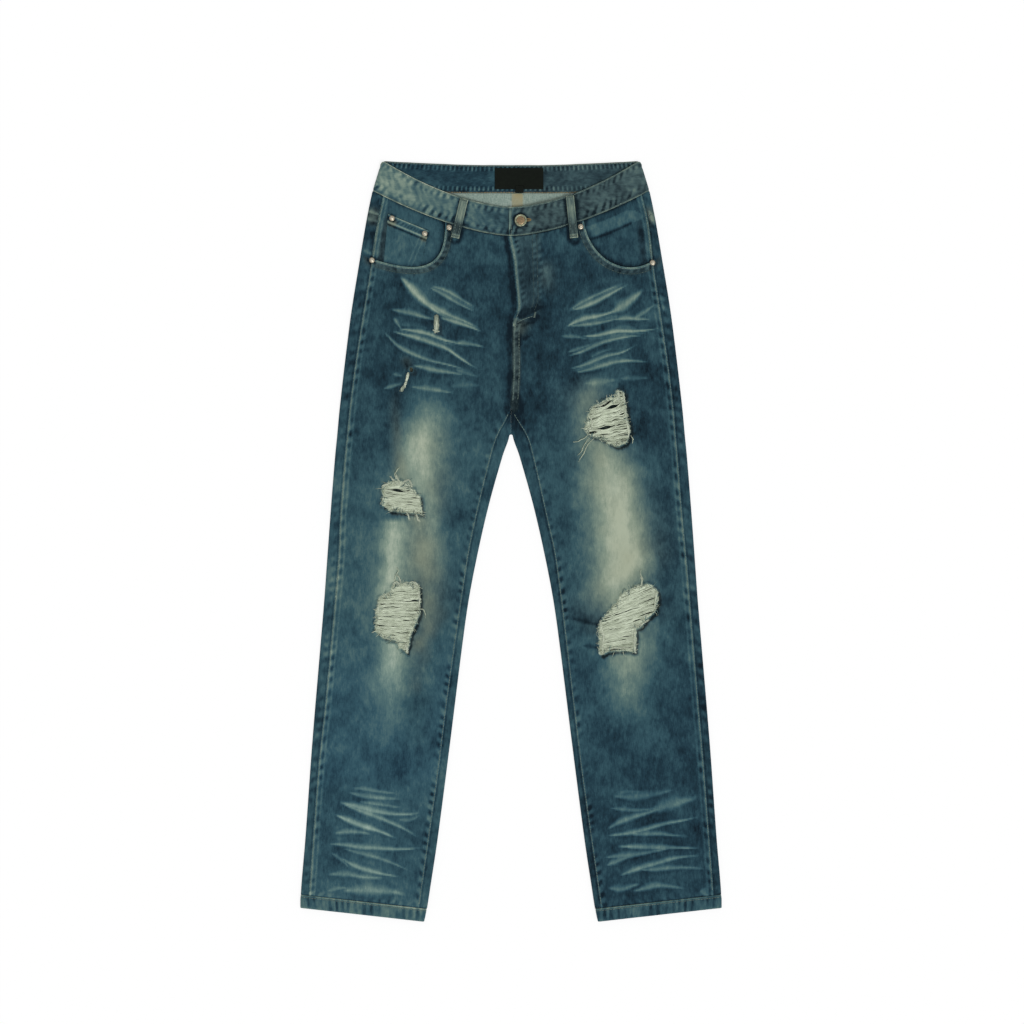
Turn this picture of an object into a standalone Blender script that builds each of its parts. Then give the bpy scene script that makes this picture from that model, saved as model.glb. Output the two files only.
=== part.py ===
"""Ripped straight-leg jeans laid flat on their back, front side up.

Metres, +Z up. The waist points to +Y, the hems to -Y, and the wearer's left is +X.
Each cloth piece is a wall with an outer and an inner face. A point of it is a pair
of places, one on each face. Plan points are (across, y), where across is counted
from the middle towards the piece's own side.
"""
import math
from collections import namedtuple

import bpy
import bmesh
from mathutils import Vector
from mathutils.geometry import delaunay_2d_cdt

# Cloth
DENIM = 0.0011
BAND_WALL = 0.0024
HEM_WALL = 0.0030
LOOP_WALL = 0.0016
FACING_WALL = 0.0010
POCKET_WALL = 0.0010
LABEL_WALL = 0.0010
GAP = 0.0003
MESH = 0.033            # spacing of the points over a panel
EDGE_MESH = 0.024       # spacing of the points along an edge
LOOSE_MESH = 0.031      # longest side left undivided in an outline
CLOSE = 0.001           # places nearer than this along an edge count as one
COIN_MESH = 0.018
POCKET_MESH = 0.045
TAG_MESH = 0.012
FOLD_STEPS = 4          # steps round a fold
HEM_STEPS = 9           # steps across a hem

# Lengths along the garment
WAIST_TOP = 0.5410
WAIST_SIDE = 0.4963     # lower edge of the waistband at the side fold
WAIST_MIDDLE = 0.4740   # top edge of the front waistband in the middle
SEAM_MIDDLE = 0.4330    # lower edge of the front waistband in the middle
BACK_TOP_MIDDLE = 0.5339
BACK_SEAM_MIDDLE = 0.4935
YOKE_SIDE = 0.4650
YOKE_MIDDLE = 0.4180
YOKE_FLAP_DROP = 0.0030 # the yoke's seam slants down from the fold to the outseam
CROTCH = 0.1870         # where the front panels meet the inseams
SPLIT = 0.1510          # top of the gap between the legs
SPLIT_RADIUS = 0.0025
SPLIT_TURN = math.radians(70)
HEM_INNER = -0.5410
HEM_SLOPE = 0.1119
HEM_INNER_ACROSS = 0.1234
HEM_DEPTH = 0.0190

# Widths
FRONT_MIDDLE = 0.0020   # the front closes a little to the wearer's left
BAND_END = -0.0030
BAND_UNDERLAP = 0.0350
BAND_LEVEL = 0.0072
BAND_DIP = 0.0009
BAND_RISE = 0.0019
LAP_START = 0.0390      # where the lapping end of the band begins to come down
LAP_FALL = 0.040
DIP_START = -0.0280     # where the end below it begins to sink
DIP_FALL = 0.020
FACING_UNDER = 0.012    # how far the pocket facing runs under the front panel
FACING_TOP = 0.4880     # where the facing's outer side starts below the waistband
FACING_FOOT = 0.0100    # how far it runs below the end of the mouth
FLY_RISE = 0.0014
FLY_WIDTH = 0.040
FLY_FADE = 0.012        # width of the ramp beside the fly
SAG_WIDTH = 0.045
SPLIT_STEPS = 3
SPLIT_STRAIGHT = 0.004  # drop from the round top to the first point on the inseam fold
WAIST_POWER = 1.7       # how full the curves of the band's edges and the yoke seam are
SEAM_POWER = 1.6
YOKE_POWER = 1.3

# The outline of a leg. outer is the half width, inner the half gap between the legs,
# level the height of the folds and sag how far the cloth between them sinks.
Section = namedtuple("Section", "y outer inner level sag")
SECTIONS = [
    Section(0.5410, 0.1860, 0.0000, 0.0072, 0.0002),
    Section(0.4963, 0.1970, 0.0000, 0.0072, 0.0002),
    Section(0.4550, 0.2055, 0.0000, 0.0066, 0.0003),
    Section(0.3930, 0.2160, 0.0000, 0.0063, 0.0003),
    Section(0.3250, 0.2270, 0.0000, 0.0062, 0.0003),
    Section(0.2570, 0.2357, 0.0000, 0.0060, 0.0005),
    Section(0.1870, 0.2437, 0.0000, 0.0056, 0.0008),
    Section(0.1493, 0.2472, 0.0023, 0.0053, 0.0010),
    Section(0.1210, 0.2500, 0.0118, 0.0051, 0.0012),
    Section(0.0520, 0.2556, 0.0312, 0.0049, 0.0013),
    Section(-0.0160, 0.2606, 0.0469, 0.0048, 0.0013),
    Section(-0.0840, 0.2655, 0.0600, 0.0048, 0.0013),
    Section(-0.1520, 0.2712, 0.0696, 0.0048, 0.0013),
    Section(-0.2880, 0.2826, 0.0866, 0.0048, 0.0013),
    Section(-0.4250, 0.2925, 0.1044, 0.0050, 0.0010),
    Section(-0.4900, 0.2980, 0.1142, 0.0062, 0.0006),
    Section(-0.5268, 0.2998, 0.1200, 0.0069, 0.0004),
    Section(-0.5410, 0.3004, 0.1234, 0.0069, 0.0004),
]

# Where the seams lie on the front, across from the middle. The back panels reach
# round the folds as far as these.
Seams = namedtuple("Seams", "y outseam_right outseam_left inseam_right inseam_left")
SEAMS = [
    Seams(0.4963, 0.1800, 0.1850, 0.0000, 0.0000),
    Seams(0.4550, 0.1895, 0.1950, 0.0000, 0.0000),
    Seams(0.3930, 0.1995, 0.2030, 0.0000, 0.0000),
    Seams(0.2570, 0.2215, 0.2235, 0.0000, 0.0000),
    Seams(0.1870, 0.2305, 0.2320, 0.0000, 0.0000),
    Seams(0.1505, 0.2340, 0.2350, 0.0175, 0.0205),
    Seams(0.1290, 0.2365, 0.2370, 0.0250, 0.0275),
    Seams(0.0300, 0.2440, 0.2450, 0.0490, 0.0500),
    Seams(-0.0270, 0.2465, 0.2505, 0.0602, 0.0620),
    Seams(-0.2260, 0.2645, 0.2670, 0.0892, 0.0865),
    Seams(-0.3250, 0.2750, 0.2755, 0.1015, 0.0985),
    Seams(-0.5410, 0.2905, 0.2915, 0.1320, 0.1295),
]

# The edge of the fly and the seam below it, as x.
Middle = namedtuple("Middle", "y x")
MIDDLE = [
    Middle(0.4740, -0.0028),
    Middle(0.4370, -0.0030),
    Middle(0.3980, 0.0043),
    Middle(0.3680, 0.0071),
    Middle(0.3390, 0.0102),
    Middle(0.3290, 0.0097),
    Middle(0.3070, 0.0031),
    Middle(0.2400, 0.0026),
    Middle(0.1870, 0.0000),
]
FLY_END = 0.3070

# Pocket mouths, each one curve from the waistband to the outseam: start, two
# handles, end.
Mouth = namedtuple("Mouth", "start start_handle end_handle end")
MOUTHS = {
    "right": Mouth((0.0935, 0.4515), (0.0925, 0.3930), (0.1180, 0.3740), (0.1990, 0.4010)),
    "left": Mouth((0.1035, 0.4530), (0.1120, 0.4000), (0.1620, 0.3720), (0.2030, 0.3985)),
}
MOUTH_STEPS = 12

# Rips through the front panels, as outlines in x and y.
RIPS = {
    "right": [
        [(-0.181, 0.077), (-0.170, 0.090), (-0.163, 0.095), (-0.145, 0.088), (-0.132, 0.071),
         (-0.126, 0.062), (-0.126, 0.041), (-0.128, 0.025), (-0.138, 0.024), (-0.148, 0.033),
         (-0.159, 0.041), (-0.170, 0.043), (-0.182, 0.048)],
        [(-0.165, -0.063), (-0.152, -0.060), (-0.133, -0.063), (-0.131, -0.073), (-0.131, -0.085),
         (-0.129, -0.104), (-0.133, -0.112), (-0.143, -0.129), (-0.146, -0.146), (-0.149, -0.159),
         (-0.159, -0.146), (-0.165, -0.139), (-0.180, -0.138), (-0.189, -0.129), (-0.190, -0.115),
         (-0.189, -0.097), (-0.187, -0.085), (-0.170, -0.072)],
    ],
    "left": [
        [(0.148, 0.212), (0.160, 0.204), (0.162, 0.183), (0.165, 0.162), (0.168, 0.145),
         (0.169, 0.138), (0.155, 0.124), (0.143, 0.136), (0.129, 0.140), (0.118, 0.145),
         (0.109, 0.155), (0.108, 0.165), (0.109, 0.176), (0.122, 0.189), (0.140, 0.200)],
        [(0.178, -0.064), (0.197, -0.063), (0.207, -0.072), (0.209, -0.089), (0.203, -0.103),
         (0.192, -0.116), (0.178, -0.126), (0.175, -0.142), (0.175, -0.155), (0.155, -0.155),
         (0.139, -0.160), (0.128, -0.160), (0.126, -0.145), (0.125, -0.122), (0.129, -0.111),
         (0.141, -0.095), (0.155, -0.078)],
    ],
}

# Pieces under the back. across and y are the middle of each.
BackPocket = namedtuple("BackPocket", "across y width height point taper turn")
BACK_POCKET = BackPocket(0.1080, 0.3250, 0.1450, 0.1300, 0.0220, 0.0100, math.radians(5))
LIFT_MARGIN = 0.020
LIFT_FALL = 0.018
BACK_LOOPS = {"right": -0.1280, "centre": 0.0, "left": 0.1280}
BACK_LOOP_LOW = 0.4830
BACK_LOOP_HIGH = 0.5330
LOOP_WIDTH = 0.0115

# Front belt loops, as x and y of the two ends.
FrontLoop = namedtuple("FrontLoop", "top bottom")
FRONT_LOOPS = {
    "right": FrontLoop((-0.0665, 0.4850), (-0.0795, 0.4300)),
    "left": FrontLoop((0.0835, 0.4895), (0.0895, 0.4300)),
}
LOOP_ARCH = 0.0008
LOOP_STEPS = 6

# Coin pocket, across and y.
COIN_TOP_OUTER = (0.1745, 0.4640)
COIN_TOP_INNER = (0.1170, 0.4400)
COIN_FOOT_INNER = 0.1270
COIN_FOOT_OUTER = 0.1815

Tag = namedtuple("Tag", "x y width height")
LABEL = Tag(0.0115, 0.5145, 0.0690, 0.0300)
SIZE_TAB = Tag(0.0120, 0.4990, 0.0115, 0.0085)

BUTTON = (0.0137, 0.4545)
BUTTON_RADIUS = 0.0087
RIVET_RADIUS = 0.0042
TURNED_SIDES = 20
SHARP = math.radians(40)
# Profiles as a share of the radius, and the height over the cloth.
BUTTON_PROFILE = [
    (0, 0), (0.42, 0), (0.42, 0.0012), (0.95, 0.0014), (1, 0.0020),
    (0.97, 0.0028), (0.82, 0.0034), (0.45, 0.0033), (0, 0.0032),
]
RIVET_PROFILE = [(0, 0), (1, 0), (1, 0.0005), (0.8, 0.0012), (0.45, 0.0017), (0, 0.0019)]
RIVETS = {
    "mouth_right": (-0.0880, 0.4450),
    "side_right": (-0.1975, 0.3985),
    "mouth_left": (0.0990, 0.4460),
    "side_left": (0.2010, 0.3950),
    "coin_outer": (-0.1690, 0.4580),
    "coin_inner": (-0.1225, 0.4365),
}
SIDES = {"right": -1, "left": 1}

# Colours as red, green and blue, with roughness and metallic.
FINISHES = {
    "denim": ((0.030, 0.078, 0.098), 0.9, 0.0),
    "loop": ((0.100, 0.150, 0.130), 0.9, 0.0),
    "black_weave": ((0.012, 0.013, 0.011), 0.8, 0.0),
    "aged_copper": ((0.420, 0.260, 0.180), 0.4, 1.0),
    "rivet_metal": ((0.620, 0.520, 0.450), 0.4, 1.0),
}


def smooth(value):
    """0 below 0, 1 above 1 and a soft ramp between."""
    value = min(max(value, 0.0), 1.0)
    return value * value * (3 - 2 * value)


def follow(rows, column, y):
    """A table's column at y, as a smooth curve. The rows run down the garment."""
    if y >= rows[0].y:
        return getattr(rows[0], column)
    if y <= rows[-1].y:
        return getattr(rows[-1], column)
    i = next(k for k in range(len(rows) - 1) if rows[k + 1].y <= y)
    four = [rows[min(max(k, 0), len(rows) - 1)] for k in (i - 1, i, i + 1, i + 2)]
    v = [getattr(row, column) for row in four]
    span = four[2].y - four[1].y
    start_slope = (v[2] - v[0]) / (four[2].y - four[0].y) * span
    end_slope = (v[3] - v[1]) / (four[3].y - four[1].y) * span
    t = (y - four[1].y) / span
    return (
        v[1] * (2 * t**3 - 3 * t**2 + 1)
        + start_slope * (t**3 - 2 * t**2 + t)
        + v[2] * (3 * t**2 - 2 * t**3)
        + end_slope * (t**3 - t**2)
    )


def steps(start, end, spacing):
    """Evenly spaced values from start to end."""
    count = max(1, round(abs(end - start) / spacing))
    return [start + (end - start) * i / count for i in range(count + 1)]


def ruled(start, end):
    """Values from start to end at whole multiples of the edge spacing, so that two
    pieces that share a seam have their points at the same places along it."""
    low, high = min(start, end), max(start, end)
    first, last = math.ceil(low / EDGE_MESH), math.floor(high / EDGE_MESH)
    marks = [k * EDGE_MESH for k in range(first, last + 1)]
    marks = [m for m in marks if low + CLOSE < m < high - CLOSE]
    values = [low] + marks + [high]
    return values if start < end else values[::-1]


def outer_edge(y):
    return follow(SECTIONS, "outer", y)


def inner_edge(y):
    return follow(SECTIONS, "inner", y)


def hem_edge(across):
    return HEM_INNER + HEM_SLOPE * (across - HEM_INNER_ACROSS)


def hem_top(across):
    return hem_edge(across) + HEM_DEPTH


def hem_line(across):
    """Where the panels end above the hem."""
    return hem_top(across) + GAP


# ---------------------------------------------------------------- folds
Fold = namedtuple("Fold", "edge way base")


def fold_at(edge, slope, side):
    """The fold at a point of the outline. side is 1 on the outer edge, -1 on the inner."""
    way = Vector((side, -side * slope)).normalized()
    base = Vector(edge) - way * follow(SECTIONS, "level", edge[1]) / 2
    return Fold(Vector(edge), way, base)


def outer_fold(y):
    slope = (outer_edge(y + CLOSE) - outer_edge(y - CLOSE)) / (2 * CLOSE)
    return fold_at((outer_edge(y), y), slope, 1)


def inner_fold(y):
    slope = (inner_edge(y + CLOSE) - inner_edge(y - CLOSE)) / (2 * CLOSE)
    return fold_at((inner_edge(y), y), slope, -1)


def split_folds():
    """The small round top of the gap between the legs, from the middle."""
    folds = []
    for i in range(SPLIT_STEPS + 1):
        turn = SPLIT_TURN * i / SPLIT_STEPS
        way = Vector((-math.sin(turn), -math.cos(turn)))
        edge = Vector((0, SPLIT - SPLIT_RADIUS)) - way * SPLIT_RADIUS
        folds.append(Fold(edge, way, edge - way * follow(SECTIONS, "level", SPLIT) / 2))
    return folds


def meet_hem(edge, line):
    """The y at which an edge crosses a hem line."""
    y = HEM_INNER
    for _ in range(20):
        y = line(edge(y))
    return y


WAIST_FOLD = outer_fold(WAIST_SIDE)
TOP_FOLD = Fold(
    Vector((outer_edge(WAIST_TOP), WAIST_TOP)),
    WAIST_FOLD.way,
    Vector((outer_edge(WAIST_TOP), WAIST_TOP)) - WAIST_FOLD.way * BAND_LEVEL / 2,
)


# ---------------------------------------------------------------- lines across the garment
def across_front(x, half):
    """0 at the middle of the front and 1 at the fold."""
    reach = half - math.copysign(FRONT_MIDDLE, x - FRONT_MIDDLE)
    return min(abs(x - FRONT_MIDDLE) / reach, 1.0)


def front_waist(x):
    drop = TOP_FOLD.base.y - WAIST_MIDDLE
    return TOP_FOLD.base.y - drop * (1 - across_front(x, TOP_FOLD.base.x) ** WAIST_POWER)


def front_seam(x):
    drop = WAIST_FOLD.base.y - SEAM_MIDDLE
    return WAIST_FOLD.base.y - drop * (1 - across_front(x, WAIST_FOLD.base.x) ** SEAM_POWER)


def back_waist(x):
    reach = min(abs(x) / TOP_FOLD.base.x, 1.0)
    return BACK_TOP_MIDDLE + (TOP_FOLD.base.y - BACK_TOP_MIDDLE) * reach**2


def back_seam(x):
    reach = min(abs(x) / WAIST_FOLD.base.x, 1.0)
    return BACK_SEAM_MIDDLE + (WAIST_FOLD.base.y - BACK_SEAM_MIDDLE) * reach**2


YOKE_FOLD = outer_fold(YOKE_SIDE)


def yoke_seam(across):
    """The seam below the yoke, on the back."""
    rise = YOKE_FOLD.base.y - YOKE_MIDDLE
    return YOKE_MIDDLE + rise * min(across / YOKE_FOLD.base.x, 1.0) ** YOKE_POWER


# ---------------------------------------------------------------- heights
def near_box(x, y, middle, half, turn):
    """1 over a box and a margin round it, falling softly to 0."""
    dx, dy = x - middle[0], y - middle[1]
    along = abs(dx * math.cos(turn) + dy * math.sin(turn)) - half[0]
    up = abs(dy * math.cos(turn) - dx * math.sin(turn)) - half[1]
    away = math.hypot(max(along, 0), max(up, 0))
    return 1 - smooth((away - LIFT_MARGIN) / LIFT_FALL)


def lift(x, y):
    """How far the back is held up by the pockets and loops that it lies on."""
    held = 0.0
    pocket = BACK_POCKET
    for side in SIDES.values():
        over = near_box(
            x, y, (side * pocket.across, pocket.y - pocket.point / 2),
            (pocket.width / 2, (pocket.height + pocket.point) / 2), side * pocket.turn,
        )
        held = max(held, (POCKET_WALL + GAP) * over)
    for loop_x in BACK_LOOPS.values():
        middle = (loop_x, (BACK_LOOP_LOW + BACK_LOOP_HIGH) / 2)
        half = (LOOP_WIDTH / 2, (BACK_LOOP_HIGH - BACK_LOOP_LOW) / 2)
        over = near_box(x, y, middle, half, 0)
        held = max(held, (LOOP_WALL + GAP) * over)
    return held


def fold_distance(x, y):
    """How far a point of the front is from the nearest fold's base."""
    outer = outer_edge(y) - abs(x)
    inner = abs(x) - inner_edge(y) if y < SPLIT else math.hypot(x, y - SPLIT)
    return max(min(outer, inner) - follow(SECTIONS, "level", y) / 2, 0)


def fly_rise(x, y):
    """The fly is thicker than the panel, from its edge to the J-shaped stitching."""
    if x < follow(MIDDLE, "x", y) - CLOSE:
        return 0.0
    side = 1 - smooth((x - FLY_WIDTH) / FLY_FADE)
    foot = smooth((y - FLY_END) / (2 * FLY_FADE))
    return FLY_RISE * side * foot


def front_height(x, y):
    sink = follow(SECTIONS, "sag", y) * smooth(fold_distance(x, y) / SAG_WIDTH)
    return follow(SECTIONS, "level", y) - sink


def band_height(x, lapping):
    """The front waistband. The end with the buttonhole laps over the end with the button."""
    if lapping:
        return BAND_LEVEL + BAND_RISE * (1 - smooth((x - LAP_START) / LAP_FALL))
    return BAND_LEVEL - BAND_DIP * smooth((x - DIP_START) / DIP_FALL)


# ---------------------------------------------------------------- sheets
def inside(point, loop):
    x, y = point
    crossings = 0
    for (x0, y0), (x1, y1) in zip(loop, loop[1:] + loop[:1]):
        if (y0 > y) != (y1 > y) and x < x0 + (y - y0) * (x1 - x0) / (y1 - y0):
            crossings += 1
    return crossings % 2 == 1


def divide(loop, spacing):
    """A closed outline with its long sides divided."""
    points = []
    for start, end in zip(loop, loop[1:] + loop[:1]):
        length = math.dist(start, end)
        count = max(1, round(length / spacing))
        for i in range(count):
            t = i / count
            points.append((start[0] + (end[0] - start[0]) * t, start[1] + (end[1] - start[1]) * t))
    return points


def distance_to(point, loop):
    best = 1.0
    for (x0, y0), (x1, y1) in zip(loop, loop[1:] + loop[:1]):
        dx, dy = x1 - x0, y1 - y0
        t = ((point[0] - x0) * dx + (point[1] - y0) * dy) / max(dx * dx + dy * dy, 1e-12)
        t = min(max(t, 0.0), 1.0)
        best = min(best, math.dist(point, (x0 + dx * t, y0 + dy * t)))
    return best


def triangulate(outline, holes=(), spacing=MESH):
    """Plan points and triangles that fill an outline, less its holes."""
    loops = [divide(loop, LOOSE_MESH) for loop in (outline, *holes)]
    points, edges = [], []
    for loop in loops:
        first = len(points)
        points += loop
        edges += [(first + i, first + (i + 1) % len(loop)) for i in range(len(loop))]
    low_x, high_x = min(p[0] for p in outline), max(p[0] for p in outline)
    low_y, high_y = min(p[1] for p in outline), max(p[1] for p in outline)
    row = 0
    y = low_y + spacing / 2
    while y < high_y:
        x = low_x + spacing * (0.25 + 0.5 * (row % 2))
        while x < high_x:
            spot = (x, y)
            clear = min(distance_to(spot, loop) for loop in loops) > spacing * 0.5
            if clear and inside(spot, loops[0]) and not any(inside(spot, h) for h in loops[1:]):
                points.append(spot)
            x += spacing
        y += spacing * 0.866
        row += 1
    found = delaunay_2d_cdt([Vector(p) for p in points], edges, [], 0, 1e-7)
    came_from = [ids[0] for ids in found[3]]
    triangles = []
    for face in found[2]:
        corners = [came_from[i] for i in face]
        middle = tuple(sum(points[i][k] for i in corners) / len(corners) for k in (0, 1))
        if inside(middle, loops[0]) and not any(inside(middle, h) for h in loops[1:]):
            triangles.append(corners)
    return points, triangles


class Sheet:
    """A piece of cloth: pairs of places on its outer and inner faces, and its faces."""

    def __init__(self):
        self.pairs = []
        self.index = {}
        self.faces = []

    def add(self, outer, inner):
        key = tuple(round(c, 6) for c in outer)
        if key not in self.index:
            self.index[key] = len(self.pairs)
            self.pairs.append((tuple(outer), tuple(inner)))
        return self.index[key]

    def fill(self, outline, outer, inner, holes=(), spacing=MESH):
        """Fills an outline in x and y, with the heights of the two faces as functions."""
        points, triangles = triangulate(outline, holes, spacing)
        ids = {}
        for corner in sorted({i for t in triangles for i in t}):
            x, y = points[corner]
            ids[corner] = self.add((x, y, outer(x, y)), (x, y, inner(x, y)))
        self.faces += [[ids[i] for i in t] for t in triangles]

    def bridge(self, rings):
        """Joins rows of pairs that have the same count."""
        rows = [[self.add(*pair) for pair in ring] for ring in rings]
        for one, two in zip(rows, rows[1:]):
            for i in range(len(one) - 1):
                self.faces.append([one[i], one[i + 1], two[i + 1], two[i]])

    def build(self, name, finish):
        mesh = bmesh.new()
        outer = [mesh.verts.new(pair[0]) for pair in self.pairs]
        inner = [mesh.verts.new(pair[1]) for pair in self.pairs]
        edges = {}
        for face in self.faces:
            mesh.faces.new([outer[i] for i in face])
            mesh.faces.new([inner[i] for i in reversed(face)])
            for a, b in zip(face, face[1:] + face[:1]):
                edges.setdefault(frozenset((a, b)), []).append((a, b))
        for used in edges.values():
            if len(used) == 1:
                a, b = used[0]
                mesh.faces.new([outer[b], outer[a], inner[a], inner[b]])
        bmesh.ops.recalc_face_normals(mesh, faces=mesh.faces)
        return place(name, mesh, finish)


def material(finish):
    made = bpy.data.materials.new(finish)
    made.use_nodes = True
    shader = made.node_tree.nodes["Principled BSDF"]
    colour, roughness, metallic = FINISHES[finish]
    shader.inputs["Base Color"].default_value = (*colour, 1)
    shader.inputs["Roughness"].default_value = roughness
    shader.inputs["Metallic"].default_value = metallic
    made.diffuse_color = (*colour, 1)
    return made


def place(name, mesh, finish):
    """A named object from a bmesh."""
    data = bpy.data.meshes.new(name)
    mesh.to_mesh(data)
    mesh.free()
    data.materials.append(material(finish))
    made = bpy.data.objects.new(name, data)
    bpy.context.scene.collection.objects.link(made)
    return made


def on_side(points, side):
    """Plan points as x and y, running the same way round on both sides."""
    moved = [(side * p[0], p[1]) for p in points]
    return moved if side > 0 else moved[::-1]


def fold_ring(fold, side, wall, line=None):
    """Pairs round a fold, from the back face up to the front face."""
    reach = (fold.edge - fold.base).length
    low = lift(side * fold.base.x, fold.base.y)
    high = front_height(side * fold.base.x, fold.base.y)
    middle, half = (low + high) / 2, (high - low) / 2
    ring = []
    for i in range(FOLD_STEPS + 1):
        turn = math.pi * i / FOLD_STEPS
        pair = []
        for less in (0, wall):
            spot = fold.base + fold.way * (reach - less) * math.sin(turn)
            y = line(spot.x) if line else spot.y
            if i in (0, FOLD_STEPS):
                spot, y = fold.base, fold.base.y
            pair.append((side * spot.x, y, middle - (half - less) * math.cos(turn)))
        ring.append(tuple(pair))
    return ring


def under_inner(x, y):
    return lift(x, y) + DENIM


def over_inner(x, y):
    return front_height(x, y) - DENIM


# ---------------------------------------------------------------- the pieces
def outseam(name, y):
    return follow(SEAMS, "outseam_" + name, y)


def inseam(name, y):
    return follow(SEAMS, "inseam_" + name, y)


def mouth_points(name, away=0.0):
    """A pocket mouth from the waistband to the outseam, moved out into the front panel."""
    curve = [Vector(p) for p in MOUTHS[name]]
    points = []
    for i in range(MOUTH_STEPS + 1):
        t = i / MOUTH_STEPS
        weights = ((1 - t) ** 3, 3 * t * (1 - t) ** 2, 3 * t * t * (1 - t), t**3)
        spot = sum((p * w for p, w in zip(curve, weights)), Vector((0, 0)))
        ahead = (
            (curve[1] - curve[0]) * (1 - t) ** 2
            + (curve[2] - curve[1]) * 2 * t * (1 - t)
            + (curve[3] - curve[2]) * t * t
        ).normalized()
        out = Vector((ahead.y, -ahead.x))
        points.append(tuple(spot + out * away))
    return points


def seam_foot(seam, name, line):
    """The point where a seam on the front meets a hem line."""
    y = meet_hem(lambda height: seam(name, height), line)
    return (seam(name, y), y)


def base_point(fold):
    return (fold.base.x, fold.base.y)


def rebase(fold, base):
    """The same fold with its base moved to a piece's corner."""
    return Fold(fold.edge, fold.way, Vector(base))


def build_yoke(name, side):
    sheet = Sheet()
    folds = [outer_fold(y) for y in steps(WAIST_SIDE - GAP, YOKE_SIDE + GAP / 2, EDGE_MESH)]
    edge = [base_point(f) for f in folds]
    inner_xs = ruled(edge[0][0], GAP / 2)[1:]
    top = [(a, back_seam(a) - GAP) for a in inner_xs]
    foot = [(a, yoke_seam(a) + GAP / 2) for a in inner_xs[::-1]]
    sheet.fill(on_side(edge[::-1] + top + foot, side), lift, under_inner)
    high, low = outseam(name, edge[0][1]), outseam(name, edge[-1][1])
    flap = edge + [(low, edge[-1][1] - YOKE_FLAP_DROP + GAP), (high, front_seam(side * high) - GAP)]
    sheet.fill(on_side(flap, side), front_height, over_inner)
    sheet.bridge([fold_ring(f, side, DENIM) for f in folds])
    sheet.build("yoke_" + name, "denim")


def build_back(name, side):
    sheet = Sheet()
    foot_outer = meet_hem(outer_edge, hem_line)
    foot_inner = meet_hem(inner_edge, hem_line)
    outer = [outer_fold(y) for y in steps(YOKE_SIDE - GAP / 2, foot_outer, EDGE_MESH)]
    arc = split_folds()
    inner_ys = steps(arc[-1].edge.y - SPLIT_STRAIGHT, foot_inner, EDGE_MESH)
    inner = arc + [inner_fold(y) for y in inner_ys]
    hem_xs = steps(outer[-1].base.x, inner[-1].base.x, EDGE_MESH)
    hem = [(a, hem_line(a)) for a in hem_xs]
    inner[0] = rebase(inner[0], (GAP / 2, inner[0].base.y))
    outer[-1] = rebase(outer[-1], hem[0])
    inner[-1] = rebase(inner[-1], hem[-1])
    outer_base = [base_point(f) for f in outer]
    inner_base = [base_point(f) for f in inner]
    yoke = [(a, yoke_seam(a) - GAP / 2) for a in ruled(GAP / 2, outer_base[0][0])[:-1]]
    sheet.fill(
        on_side(outer_base + hem[1:-1] + inner_base[::-1] + yoke, side), lift, under_inner
    )
    sheet.bridge([fold_ring(f, side, DENIM) for f in outer[:-1]]
                 + [fold_ring(outer[-1], side, DENIM, hem_line)])
    sheet.bridge([fold_ring(f, side, DENIM) for f in inner[:-1]]
                 + [fold_ring(inner[-1], side, DENIM, hem_line)])

    foot = seam_foot(outseam, name, hem_line)
    seam_ys = ruled(foot[1], outer_base[0][1] - YOKE_FLAP_DROP)[1:]
    flap = outer_base + [foot] + [(outseam(name, y), y) for y in seam_ys]
    sheet.fill(on_side(flap, side), front_height, over_inner)
    foot = seam_foot(inseam, name, hem_line)
    seam_ys = ruled(foot[1], CROTCH)[1:-1]
    tongue = [foot] + [(inseam(name, y), y) for y in seam_ys]
    tongue += [(GAP / 2, CROTCH - 2 * CLOSE)]
    sheet.fill(on_side(inner_base + tongue, side), front_height, over_inner)
    sheet.build("back_" + name, "denim")


def build_front(name, side):
    sheet = Sheet()
    edge = GAP if name == "right" else 0.0
    seam_start = MOUTHS[name].start[0]
    xs = ruled(side * follow(MIDDLE, "x", SEAM_MIDDLE) + edge, seam_start)
    waist = [(a, front_seam(side * a) - GAP) for a in xs[:-1]]
    mouth = mouth_points(name)
    mouth[0] = (seam_start, front_seam(side * seam_start) - GAP)
    mouth[-1] = (outseam(name, mouth[-1][1]) - GAP, mouth[-1][1])
    foot_outer = seam_foot(outseam, name, hem_line)
    foot_inner = seam_foot(inseam, name, hem_line)
    hem = [(a, hem_line(a)) for a in steps(foot_outer[0] - GAP, foot_inner[0] + GAP, EDGE_MESH)]
    down = [(outseam(name, y) - GAP, y) for y in ruled(mouth[-1][1], foot_outer[1])[1:-1]]
    up = [(inseam(name, y) + GAP, y) for y in ruled(foot_inner[1], CROTCH)[1:-1]]
    middle = [
        (side * follow(MIDDLE, "x", y) + edge, y) for y in ruled(CROTCH + GAP, waist[0][1])[:-1]
    ]
    outline = on_side(waist + mouth + down + hem + up + middle, side)

    def outer(x, y):
        return front_height(x, y) + (fly_rise(x, y) if name == "left" else 0)

    sheet.fill(outline, outer, over_inner, RIPS[name])
    sheet.build("front_" + name, "denim")


def facing_outer(x, y):
    return front_height(x, y) - DENIM - GAP


def facing_inner(x, y):
    return facing_outer(x, y) - FACING_WALL


def build_facing(name, side):
    sheet = Sheet()
    under_front = mouth_points(name, FACING_UNDER)
    top_inner = under_front[0][0]
    top_outer = outseam(name, FACING_TOP) - GAP
    top = [(a, front_seam(side * a) - GAP) for a in ruled(top_outer, top_inner)]
    side_foot = under_front[-1][1] - FACING_FOOT
    down = [(outseam(name, y) - GAP, y) for y in ruled(top[0][1], side_foot)[1:]]
    outline = top + under_front[2:-1] + down[::-1]
    sheet.fill(on_side(outline[::-1], side), facing_outer, facing_inner)
    sheet.build("pocket_facing_" + name, "denim")


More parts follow.
